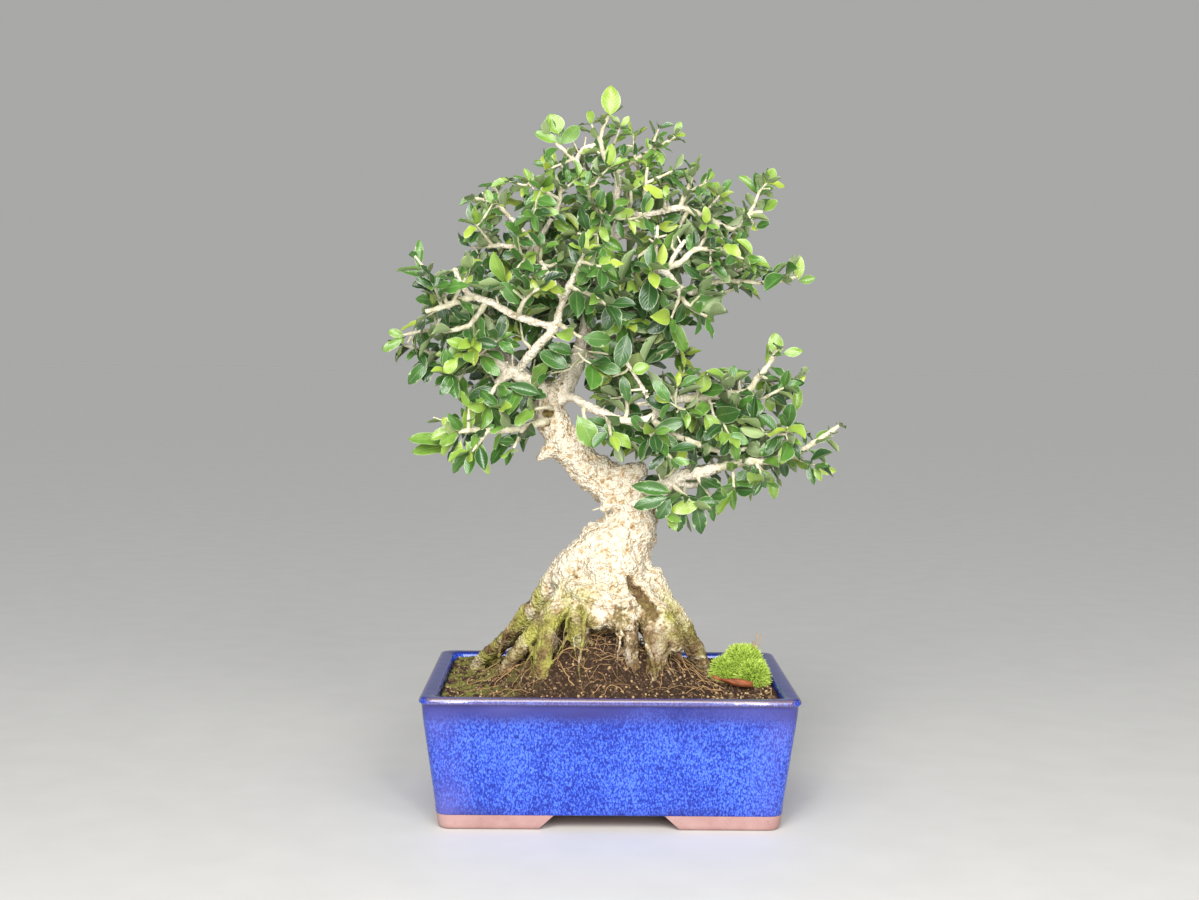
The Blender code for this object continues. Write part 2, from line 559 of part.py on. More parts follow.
def tube(name, route, radii, collection, resolution):
    """A tube along a route in millimetres, with a radius at each point: a bevelled curve made a mesh."""
    curve = bpy.data.curves.new(name, "CURVE")
    curve.dimensions = "3D"
    curve.bevel_depth = MM
    curve.bevel_resolution = resolution
    curve.use_fill_caps = True
    spline = curve.splines.new("POLY")
    spline.points.add(len(route) - 1)
    for point, place, radius in zip(spline.points, route, radii):
        point.co = (*(place.xyz * MM), 1.0)
        point.radius = radius
    guide = bpy.data.objects.new(name, curve)
    collection.objects.link(guide)
    mesh = bpy.data.meshes.new_from_object(guide.evaluated_get(bpy.context.evaluated_depsgraph_get()))
    bpy.data.objects.remove(guide)
    bpy.data.curves.remove(curve)
    bm = bmesh.new()
    bm.from_mesh(mesh)
    bmesh.ops.remove_doubles(bm, verts=bm.verts, dist=1e-6)
    bpy.data.meshes.remove(mesh)
    return from_bmesh(name, bm, collection)


def combine(base, operation, operands, solver="EXACT"):
    """Apply one Boolean of a collection's objects to the base, and remove them."""
    group = bpy.data.collections.new("operands")
    bpy.context.scene.collection.children.link(group)
    for obj in operands:
        for old in list(obj.users_collection):
            old.objects.unlink(obj)
        group.objects.link(obj)
    step = base.modifiers.new(operation.lower(), "BOOLEAN")
    step.operation = operation
    step.operand_type = "COLLECTION"
    step.collection = group
    step.solver = solver
    mesh = bpy.data.meshes.new_from_object(base.evaluated_get(bpy.context.evaluated_depsgraph_get()))
    base.modifiers.remove(step)
    old_mesh = base.data
    base.data = mesh
    bpy.data.meshes.remove(old_mesh)
    for obj in operands:
        bpy.data.meshes.remove(obj.data)
    bpy.data.collections.remove(group)
    return base


def bodies(bm):
    """The faces of each body, the largest body last. Faces belong together when they share an edge."""
    left, found = set(bm.faces), []
    while left:
        body, front = [], [left.pop()]
        while front:
            face = front.pop()
            body.append(face)
            near = {f for e in face.edges for f in e.link_faces} & left
            left -= near
            front += near
        found.append(body)
    return sorted(found, key=len)


def drop_scraps(bm):
    """Delete faces that lie back to back, and every body but the largest, a sealed hollow's walls too."""
    same = {}
    for face in bm.faces:
        same.setdefault(frozenset(v.index for v in face.verts), []).append(face)
    double = [face for faces in same.values() if len(faces) > 1 for face in faces]
    bmesh.ops.delete(bm, geom=double, context="FACES")
    bmesh.ops.delete(bm, geom=[f for body in bodies(bm)[:-1] for f in body], context="FACES")
    bmesh.ops.delete(bm, geom=[v for v in bm.verts if not v.link_faces], context="VERTS")
    bmesh.ops.delete(bm, geom=[e for e in bm.edges if not e.link_faces], context="EDGES")


def keep_body(obj, flat=1.5):
    """Keep the largest body, merge the faces that lie flat, and cut the rest into triangles."""
    bm = bmesh.new()
    bm.from_mesh(obj.data)
    drop_scraps(bm)
    for limit in (flat, flat / 2, flat / 5, 0.0):
        for method in ("BEAUTY", "EAR_CLIP"):
            split = bm.copy()
            if limit:
                flat_angle = math.radians(limit)
                bmesh.ops.dissolve_degenerate(split, edges=split.edges, dist=0.000003)
                bmesh.ops.dissolve_limit(split, angle_limit=flat_angle, verts=split.verts, edges=split.edges)
                bmesh.ops.dissolve_verts(split, verts=[v for v in split.verts if len(v.link_edges) == 2])
            bmesh.ops.triangulate(split, faces=split.faces, ngon_method=method)
            split.verts.index_update()
            drop_scraps(split)
            split.to_mesh(obj.data)
            closed = all(e.is_manifold for e in split.edges)
            split.free()
            if closed:
                bm.free()
                return
    bm.free()


def inner_size(z):
    """Width and depth of the pot's inside at a height."""
    top = [side - 2 * RIM_WIDTH for side in RIM_SIZE]
    share = (z - FOOT_HEIGHT - FLOOR_THICK) / (POT_HEIGHT - FOOT_HEIGHT - FLOOR_THICK)
    low = [side - 2 * FLOOR_WALL for side in outer_size(FOOT_HEIGHT + FLOOR_THICK)]
    return tuple(a + (b - a) * share for a, b in zip(low, top))


def outer_size(z):
    """Width and depth of the pot's body at a height, under the rim band."""
    share = z / (POT_HEIGHT - RIM_BAND)
    return tuple(foot + (rim - 2 * RIM_PROUD - foot) * share for foot, rim in zip(FOOT_SIZE, RIM_SIZE))


def gap_cutter(name, widths, along_y, collection):
    """A prism with slanted ends that opens the foot ring on two opposite sides."""
    low, high = widths
    reach = 400.0
    sizes = ((low, reach), (high, reach)) if along_y else ((reach, low), (reach, high))
    extra = (low - high) / FOOT_HEIGHT
    low_size = tuple(side + (extra if side != reach else 0) for side in sizes[0])
    return tapered_box(name, low_size, sizes[1], -1.0, FOOT_HEIGHT, 0, collection)


def make_pot(parts, cutters):
    """The glazed pot: body, rim band, feet and drain holes in one fired piece."""
    floor = FOOT_HEIGHT + FLOOR_THICK
    band = POT_HEIGHT - RIM_BAND
    pot = tapered_box("pot", FOOT_SIZE, outer_size(band + 1), 0.0, band + 1, CORNER_RADIUS, parts)
    rim = tapered_box("rim", RIM_SIZE, RIM_SIZE, band, POT_HEIGHT, CORNER_RADIUS + RIM_PROUD, cutters)
    combine(pot, "UNION", [rim])
    ring = tuple(side - 2 * FOOT_RING for side in FOOT_SIZE)
    above = POT_HEIGHT + 5
    cuts = [
        tapered_box("inside", inner_size(floor), inner_size(above), floor, above, CORNER_RADIUS, cutters),
        tapered_box("underside", ring, ring, -1.0, FOOT_HEIGHT, 0, cutters),
        gap_cutter("front_gap", FRONT_GAP, True, cutters),
        gap_cutter("side_gap", SIDE_GAP, False, cutters),
    ]
    cuts += [cylinder("drain", x, 0, DRAIN_RADIUS, 1, floor + 4, cutters) for x in (-DRAIN_X, DRAIN_X)]
    for cut in cuts:
        combine(pot, "DIFFERENCE", [cut])
    pot.data.materials.append(material("cobalt_glaze", (0.012, 0.035, 0.36), 0.12))
    return pot


def make_drain_meshes(parts, cutters):
    """A plastic mesh square over each drain hole."""
    mat = material("drain_mesh_plastic", (0.02, 0.02, 0.02), 0.5)
    z0 = FOOT_HEIGHT + FLOOR_THICK + GAP
    for name, x in (("drain_mesh_left", -DRAIN_X), ("drain_mesh_right", DRAIN_X)):
        plate = tapered_box(name, (MESH_SIZE,) * 2, (MESH_SIZE,) * 2, z0, z0 + MESH_THICK, 0, parts)
        for i in (-1, 0, 1):
            for j in (-1, 0, 1):
                hole = tapered_box("hole", (MESH_HOLE,) * 2, (MESH_HOLE,) * 2, z0 - 1, z0 + MESH_THICK + 1, 0, cutters)
                shift = Vector((i * MESH_PITCH, j * MESH_PITCH, 0)) * MM
                hole.data.transform(shift_matrix(shift))
                combine(plate, "DIFFERENCE", [hole])
        plate.data.transform(shift_matrix(Vector((x, 0, 0)) * MM))
        plate.data.materials.append(mat)


def shift_matrix(shift):
    """A translation as a matrix."""
    return Matrix.Translation(shift)


def soil_height(x, y):
    """Height of the soil's surface in millimetres: level at the walls, mounded round the roots."""
    height = SOIL_EDGE
    for cx, cy, sx, sy, rise in SOIL_MOUNDS:
        height += rise * math.exp(-((x - cx) / sx) ** 2 / 2 - ((y - cy) / sy) ** 2 / 2)
    return height + SOIL_RIPPLE * noise.noise(Vector((x * 0.06, y * 0.06, 3.7)))


def make_soil(parts, cutters):
    """The packed soil: the pot's inside under a mounded surface, with plain holes for what stands in it."""
    floor = FOOT_HEIGHT + FLOOR_THICK + GAP
    top = 120.0
    clear = 2.4 * GAP
    low = tuple(side - clear for side in inner_size(floor))
    high = tuple(side - clear for side in inner_size(top))
    soil = tapered_box("soil", low, high, floor, top, CORNER_RADIUS, parts)
    bm = bmesh.new()
    bmesh.ops.create_grid(bm, x_segments=SOIL_GRID[0], y_segments=SOIL_GRID[1], size=0.5)
    for v in bm.verts:
        x, y = v.co.x * 190.0, v.co.y * 140.0
        v.co = Vector((x, y, soil_height(x, y))) * MM
    lid = bmesh.ops.extrude_face_region(bm, geom=list(bm.faces))["geom"]
    for v in (g for g in lid if isinstance(g, bmesh.types.BMVert)):
        v.co.z = 10 * MM
    combine(soil, "INTERSECT", [from_bmesh("mound", bm, cutters)], "MANIFOLD")
    pocket = MESH_SIZE + 2 * GAP
    holes = []
    for x in (-DRAIN_X, DRAIN_X):
        box = tapered_box("pocket", (pocket,) * 2, (pocket,) * 2, floor - 1, floor + MESH_THICK + GAP, 0, cutters)
        box.data.transform(shift_matrix(Vector((x, 0, 0)) * MM))
        holes.append(box)
    holes.append(moss_plug(GAP, MOSS_UNDERSIDE + 9, cutters))
    holes.append(cylinder("moss_seat", *MOSS_SEAT, MOSS_UNDERSIDE - GAP, top, cutters))
    for name in WOOD:
        if name == "trunk" or name.startswith("root"):
            holes.append(wood_tube(name, SOCKET_CLEARANCE, cutters))
    for hole in holes:
        combine(soil, "DIFFERENCE", [hole], "MANIFOLD")
    keep_body(soil, 5.0)
    soil.data.materials.append(material("soil", (0.045, 0.028, 0.018), 0.95))
    return soil


def moss_plug(grow, top, collection):
    """The foot of the moss cushion that sits in the soil, or its hole when grown by a clearance."""
    x, y, radius, foot = MOSS_PLUG
    return cylinder("moss_plug", x, y, radius + grow, foot - grow, top, collection)


def make_moss(parts, cutters):
    """The moss cushion: rounded lumps grown together on a foot that is sunk in the soil."""
    lumps = []
    for x, y, z, rx, ry, rz in MOSS_LUMPS:
        bm = bmesh.new()
        bmesh.ops.create_icosphere(bm, subdivisions=2, radius=1.0)
        for v in bm.verts:
            v.co = Vector((x + v.co.x * rx, y + v.co.y * ry, z + v.co.z * rz)) * MM
        underside = Vector((0, 0, MOSS_UNDERSIDE)) * MM
        everything = list(bm.verts) + list(bm.edges) + list(bm.faces)
        bmesh.ops.bisect_plane(bm, geom=everything, plane_co=underside, plane_no=(0, 0, 1), clear_inner=True)
        bmesh.ops.holes_fill(bm, edges=[e for e in bm.edges if e.is_boundary])
        lumps.append(from_bmesh("moss_cushion", bm, cutters))
    moss = lumps.pop(0)
    cutters.objects.unlink(moss)
    parts.objects.link(moss)
    combine(moss, "UNION", [*lumps, moss_plug(0.0, MOSS_UNDERSIDE + 2, cutters)])
    keep_body(moss)
    moss.name = "moss_cushion"
    moss.data.materials.append(material("moss", (0.24, 0.42, 0.03), 0.9))
    return moss


def make_dry_leaf(parts):
    """A fallen leaf that lies on the soil."""
    start, end = (Vector((x, y, soil_height(x, y) + 1.25)) for x, y in DRY_LEAF)
    along = end - start
    leaf = Leaf(start, along.normalized(), Vector((0, 0, 1)), along.length, DRY_LEAF_WIDTH, 0.0)
    verts, faces = leaf.body()
    mesh = bpy.data.meshes.new("dry_leaf")
    mesh.from_pydata([v * MM for v in verts], [], faces)
    obj = new_object("dry_leaf", mesh, parts, material("dry_leaf", (0.25, 0.06, 0.03), 0.7))
    close_outward(obj)
    return obj


def close_outward(obj):
    """Turn the faces outwards."""
    bm = bmesh.new()
    bm.from_mesh(obj.data)
    bmesh.ops.recalc_face_normals(bm, faces=bm.faces)
    bm.to_mesh(obj.data)
    bm.free()


def wood_tube(name, grow, collection):
    """One wood route as a tube, grown by a clearance when it is to cut a socket."""
    route = wood_route(name)
    end = (route[0] - route[1]).xyz.normalized() * grow
    route[0] = Vector((*(route[0].xyz + end), route[0].w))
    end = (route[-1] - route[-2]).xyz.normalized() * grow
    route[-1] = Vector((*(route[-1].xyz + end), route[-1].w))
    widest = max(p.w for p in route)
    sides = 2 if widest > 10 else 1 if widest > 4.6 else 0
    return tube(name, route, [p.w + grow for p in route], collection, sides)


def wood_segments():
    """Every straight piece of the wood, for distances to its surface."""
    return [pair for name in WOOD for pair in zip(wood_route(name), wood_route(name)[1:])]


def stem_tube(name, route, foot, collection):
    """A twig that thins towards its tip, as a mesh object."""
    count = len(route) - 1
    radii = [(foot + (STEM_TIP - foot) * k / count) for k in range(count + 1)]
    return tube(name, route, radii, collection, 0)


def plan_shoots():
    """Routes of every stem in real points: the stub that belongs to the wood, and the shoot's own stems."""
    segments = wood_segments()
    plans = {}
    for name, stems in SHOOTS.items():
        routes = [[seen(*p) for p in points] for points, _, _ in stems]
        stub, routes[0] = split_at_wood(routes[0], segments)
        plans[name] = (stub, routes, [foot for _, foot, _ in stems], [leaf for _, _, leaf in stems])
    return plans


def make_wood(plans, parts, cutters):
    """Trunk, roots and branches as one solid, with a short stub where each shoot starts."""
    wood = wood_tube("trunk", 0.0, parts)
    pieces = [wood_tube(name, 0.0, cutters) for name in WOOD if name != "trunk"]
    for stub, _, feet, _ in plans.values():
        if len(stub) > 1:
            pieces.append(tube("stub", stub, [feet[0] * 1.1] * len(stub), cutters, 0))
    combine(wood, "UNION", pieces)
    keep_body(wood, 5.0)
    wood.data.materials.append(material("pale_bark", (0.62, 0.50, 0.36), 0.9))
    return wood


def mesh_body(obj):
    """An object's vertices in millimetres and its faces."""
    return [v.co / MM for v in obj.data.vertices], [tuple(p.vertices) for p in obj.data.polygons]


def make_shoots(plans, crowd, parts, cutters):
    """Each leafy shoot: its twigs and leaves grown into one solid."""
    mat = material("olive_leaf", (0.10, 0.22, 0.05), 0.45)
    stems = {}
    for name, (_, routes, feet, _) in plans.items():
        stems[name] = [stem_tube(name, route, foot, cutters) for route, foot in zip(routes, feet)]
        for stem in stems[name]:
            crowd.add(*mesh_body(stem), owner=name)
    rng = random.Random(SEED)
    count = 0
    for name, (_, routes, _, sizes) in plans.items():
        leaves = []
        for route, size in zip(routes, sizes):
            if size:
                leaves += grow_leaves(name, route, size, rng, crowd)
        count += len(leaves)
        blades = []
        for leaf in leaves:
            verts, faces = leaf.body()
            mesh = bpy.data.meshes.new("blade")
            mesh.from_pydata([v * MM for v in verts], [], faces)
            blade = new_object("blade", mesh, cutters)
            close_outward(blade)
            blades.append(blade)
        shoot, *others = stems[name]
        shoot.name = "spray_" + name
        for old in list(shoot.users_collection):
            old.objects.unlink(shoot)
        parts.objects.link(shoot)
        combine(shoot, "UNION", others + blades)
        keep_body(shoot, 4.0)
        shoot.data.materials.append(mat)
    return count


def centre_on_box(objects):
    """Move everything sideways so that the origin is under the middle of the whole box."""
    corners = [v.co for obj in objects for v in obj.data.vertices]
    middle = [(min(c[i] for c in corners) + max(c[i] for c in corners)) / 2 for i in range(2)]
    for obj in objects:
        obj.data.transform(shift_matrix(Vector((-middle[0], -middle[1], 0.0))))


def main():
    for obj in list(bpy.data.objects):
        bpy.data.objects.remove(obj)
    parts = bpy.data.collections.new("olive_bonsai")
    cutters = bpy.data.collections.new("cutters")
    for collection in (parts, cutters):
        bpy.context.scene.collection.children.link(collection)
    plans = plan_shoots()
    make_pot(parts, cutters)
    make_drain_meshes(parts, cutters)
    make_soil(parts, cutters)
    make_moss(parts, cutters)
    make_dry_leaf(parts)
    wood = make_wood(plans, parts, cutters)
    crowd = Crowd()
    crowd.add(*mesh_body(wood))
    make_shoots(plans, crowd, parts, cutters)
    centre_on_box(list(parts.objects))


if __name__ == "__main__":
    main()
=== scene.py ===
"""Olive bonsai in a cobalt-glazed pot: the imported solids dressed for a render.

The part's solids are loaded as a fixed frame, and the finer pieces stand where they stand. Lengths are
worked in millimetres in the pot's own frame, whose origin is on the floor under the middle of the pot, and
Bench turns them into metres in the row's frame. Wood and shoots follow the routes of the part's source: x
and z as the front view shows them on the tree's middle plane, with a depth y (less than 0 is nearer to the
viewer), which Bench.seen turns into real points.
"""

from __future__ import annotations

import json
import logging
import math
import random
from collections.abc import Iterable, Sequence
from dataclasses import dataclass, field
from enum import Enum
from typing import Any

import bmesh
import bpy
from mathutils import Matrix, Vector, noise
from mathutils.kdtree import KDTree

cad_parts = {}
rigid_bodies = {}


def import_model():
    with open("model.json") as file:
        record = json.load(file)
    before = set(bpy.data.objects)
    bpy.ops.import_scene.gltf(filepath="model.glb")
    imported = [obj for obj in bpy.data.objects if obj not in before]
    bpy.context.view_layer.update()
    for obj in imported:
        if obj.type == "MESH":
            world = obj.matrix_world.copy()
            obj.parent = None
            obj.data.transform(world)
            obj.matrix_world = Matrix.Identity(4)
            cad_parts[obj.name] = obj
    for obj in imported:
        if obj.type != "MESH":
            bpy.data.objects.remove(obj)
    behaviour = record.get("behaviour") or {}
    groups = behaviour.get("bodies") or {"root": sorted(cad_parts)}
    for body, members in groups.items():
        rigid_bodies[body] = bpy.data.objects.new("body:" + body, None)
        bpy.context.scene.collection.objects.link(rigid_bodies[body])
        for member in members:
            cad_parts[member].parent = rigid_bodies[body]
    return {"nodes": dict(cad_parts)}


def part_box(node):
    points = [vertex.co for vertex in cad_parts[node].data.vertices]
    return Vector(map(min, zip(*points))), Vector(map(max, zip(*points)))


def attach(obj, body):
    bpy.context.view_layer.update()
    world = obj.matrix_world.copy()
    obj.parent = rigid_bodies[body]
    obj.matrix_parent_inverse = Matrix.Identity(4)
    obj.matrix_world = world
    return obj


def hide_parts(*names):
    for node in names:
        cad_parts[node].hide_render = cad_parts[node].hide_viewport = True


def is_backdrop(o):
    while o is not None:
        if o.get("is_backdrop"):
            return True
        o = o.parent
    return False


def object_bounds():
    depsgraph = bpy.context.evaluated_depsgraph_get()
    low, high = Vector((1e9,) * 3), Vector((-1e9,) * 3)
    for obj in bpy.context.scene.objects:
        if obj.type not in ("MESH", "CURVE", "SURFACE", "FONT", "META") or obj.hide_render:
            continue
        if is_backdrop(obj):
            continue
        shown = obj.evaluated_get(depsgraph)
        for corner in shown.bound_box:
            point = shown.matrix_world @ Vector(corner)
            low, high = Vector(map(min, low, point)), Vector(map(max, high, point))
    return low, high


LOG = logging.getLogger("olive_bonsai")
MM = 0.001
EYE = Vector((-15.0, -969.4, 249.0))

# Wood routes: front-view x and z, depth y, radius, all in millimetres
WOOD: dict[str, list[tuple[float, float, float, float]]] = {
    "trunk": [
        (-2, 84, 0, 14), (-3, 96, 0, 21), (-4, 108, 0, 26), (-3, 118, 0, 27.5), (-1, 129, 0, 25.5),
        (3, 140, 0, 21.5), (8, 148, 0, 17.5), (13, 155, 0, 13.6), (14.5, 161, 0, 12.8), (12, 168, 0, 12.5),
        (6, 174, 0, 12), (-3, 180, 0, 11.3), (-12, 187, 0, 10.6), (-21, 195, 0, 10), (-28, 204, 0, 9.2),
        (-33, 214, 0, 8.6), (-34, 224, 0, 7.6), (-32, 231, 0, 6),
    ],
    "knob": [(-4, 143, -8, 8), (-13, 146, -12, 4.5)],
    "nub_high": [(-33, 197, -4, 5), (-40, 191, -5, 2)],
    "nub_low": [(3, 171, -6, 4.5), (-4, 163, -9, 2.2)],
    "pruned_stub": [(3, 180, -3, 6.5), (10, 184, -5, 5.6), (18, 186, -6, 4.8)],
    "root_far_left": [
        (-20, 134, 2, 9), (-29, 124, 2, 8), (-38, 111, 5, 6.5), (-49, 97, 12, 5.5), (-60, 88, 20, 4.8),
        (-69, 80, 28, 4.2), (-78, 71, 35, 3.4),
    ],
    "root_left": [
        (-14, 126, -12, 9), (-26, 112, -19, 7), (-36, 101, -22, 5.5), (-46, 89, -22, 4.6),
        (-56, 76, -20, 3.8), (-63, 66, -18, 3),
    ],
    "root_front_left": [
        (-24, 112, -20, 7), (-32, 101, -27, 5.6), (-35, 88, -32, 5.4), (-37, 75, -36, 4.8), (-38, 62, -38, 3.6),
    ],
    "root_front": [
        (-8, 118, -16, 10), (-14, 106, -24, 8.5), (-17, 94, -27, 5.5), (-16, 82, -27, 3.6),
    ],
    "root_middle": [
        (4, 116, -18, 9), (8, 103, -25, 7), (12, 90, -31, 4.6), (13, 77, -36, 3.6), (13, 66, -38, 2.8),
    ],
    "root_front_right": [
        (16, 118, -14, 9), (22, 105, -20, 8), (27, 93, -27, 8), (27, 81, -33, 6), (24, 68, -37, 4),
    ],
    "root_right": [
        (20, 125, -4, 9), (30, 111, -6, 7), (39, 99, -7, 6.2), (46, 88, -6, 5.4), (52, 78, -4, 4.6),
        (56, 66, -1, 3.4),
    ],
    "root_back_right": [(10, 116, 15, 10), (22, 100, 27, 8), (33, 86, 37, 6), (40, 72, 44, 4)],
    "root_back": [(-2, 112, 18, 10), (-4, 97, 31, 7.5), (-6, 82, 41, 5), (-7, 70, 46, 3.6)],
    "root_back_left": [(-14, 120, 13, 10), (-24, 103, 26, 7.5), (-34, 88, 37, 5.5), (-42, 74, 45, 3.8)],
    "leader": [
        (-33, 222, 0, 7), (-27, 230, 2, 6.2), (-22, 240, 4, 5.4), (-18, 250, 6, 4.8), (-14, 265, 8, 4.3),
        (-9, 282, 9, 3.9), (-4, 300, 9, 3.5), (-2, 318, 8, 3.2), (1, 333, 6, 2.9), (3, 343, 5, 2.6),
        (2, 351, 4, 2.2),
    ],
    "left_fork": [(-33, 224, 0, 7), (-40, 230, -2, 6), (-48, 236, -6, 5), (-56, 240, -9, 4.2)],
    "left_fork_stub": [(-55, 239, -9, 3.6), (-60, 236, -11, 3), (-63.5, 233, -12, 2.3)],
    "left_fork_end": [(-55, 240, -9, 3.6), (-63, 244, -11, 2.9), (-71, 249, -13, 2.2)],
    "cross_branch": [
        (-52, 239, -8, 3.6), (-46, 248, -18, 3.2), (-38, 257, -26, 3), (-31, 265, -30, 3.5), (-29, 273, -32, 2.9),
        (-26, 282, -35, 2.6), (-22, 291, -39, 2.2), (-20, 295, -41, 2),
    ],
    "left_limb": [
        (-31, 265, -30, 3.2), (-40, 266.5, -30, 2.9), (-49, 269, -29, 2.9), (-58, 273, -28, 2.8),
        (-67, 278, -27, 2.6), (-77, 281.5, -27, 2.6), (-82, 285.5, -27, 2.3), (-87, 296, -27, 2),
    ],
    "upper_left_limb": [
        (-27, 279, -34, 2.4), (-33, 290, -25, 2.3), (-40, 301, -15, 2.3), (-43, 309, -9, 2.5),
        (-52, 308.5, -8, 2), (-64, 309.4, -8, 1.7),
    ],
    "upper_left_rise": [(-43, 309, -9, 2.1), (-37, 319, -5, 1.9), (-31, 328, -1, 1.7)],
    "upper_left_fan": [(-43, 309, -9, 2.1), (-50, 318, -5, 1.9), (-57, 325, -2, 1.7)],
    "crown_left": [(-2, 319, 8, 2.8), (-10, 330, 6, 2.2), (-14, 340, 3, 2), (-17, 349, 1, 1.9), (-20, 356, 0, 1.8)],
    "crown_left_stub": [(-20, 357, 0, 1.7), (-16, 363, 1, 1.7), (-10, 365, 3, 1.5)],
    "right_rung": [
        (-28, 225, 0, 4.5), (-22, 226, -5, 3.4), (-14, 221.5, -13, 3), (-4, 217, -21, 2.8), (8, 213, -26, 2.6),
        (18, 213, -26, 2.5), (27, 218, -22, 2.7), (35, 225, -16, 3), (42, 225.6, -12, 2.8),
    ],
    "bare_twig": [(25, 218, -23, 1.7), (17, 232, -27, 1.5), (8, 246, -29, 1.3)],
    "low_right_branch": [
        (12, 164, -4, 8), (20, 169, -9, 6), (29, 176, -13, 4.8), (38, 182, -15, 4), (50, 184.5, -16, 3.4),
        (60, 187, -17, 3),
    ],
    "low_right_stub": [(36, 179, -15, 2.4), (44, 177, -11, 1.9), (52, 178, -9, 1.6)],
    "middle_limb": [
        (-5, 297, 9, 3), (6, 296, 1, 2.8), (16, 296, -7, 2.6), (28, 296, -13, 2.9), (36, 288, -9, 2.2),
        (44, 284, -6, 2),
    ],
    "middle_rise": [(27, 296, -13, 2.2), (24, 303, -15, 1.9), (24, 311, -15, 1.7), (25, 321, -13, 1.5)],
    "middle_twig": [(30, 296, -13, 2), (34, 304, -14, 1.7), (40, 313, -16, 1.5)],
    "crown_right": [(0, 328, 7, 2.8), (7, 328, 1, 2.4), (14, 327, -4, 2.3), (22, 327.5, -7, 2.2), (31, 330, -10, 2.2),
                    (38, 331, -11, 2.1), (42, 330.5, -11, 2)],
    "back_low_left": [(-30, 207, 3, 6), (-36, 213, 20, 4), (-44, 221, 36, 3)],
    "back_leader": [(-18, 250, 6, 4.4), (-10, 254, 20, 3.3), (2, 258, 34, 2.6)],
    "back_left": [(-10, 279, 9, 3.6), (-20, 286, 24, 2.8), (-32, 292, 40, 2.2)],
    "back_right": [(-2, 312, 8, 3.1), (8, 318, 22, 2.5), (20, 323, 36, 2)],
    "back_top": [(0, 330, 6, 2.6), (-6, 338, 18, 2.1), (-12, 344, 28, 1.7)],
    "back_neck": [(14, 165, 6, 7.5), (24, 174, 20, 4.6), (38, 182, 33, 3.2), (50, 187, 43, 2.4)],
    "back_far_left": [(-46, 234, -5, 4), (-56, 245, 12, 2.8), (-66, 253, 28, 2.2)],
    "back_middle": [(-6, 296, 10, 3.2), (6, 290, 24, 2.6), (22, 286, 38, 2.2), (38, 284, 48, 1.8)],
}
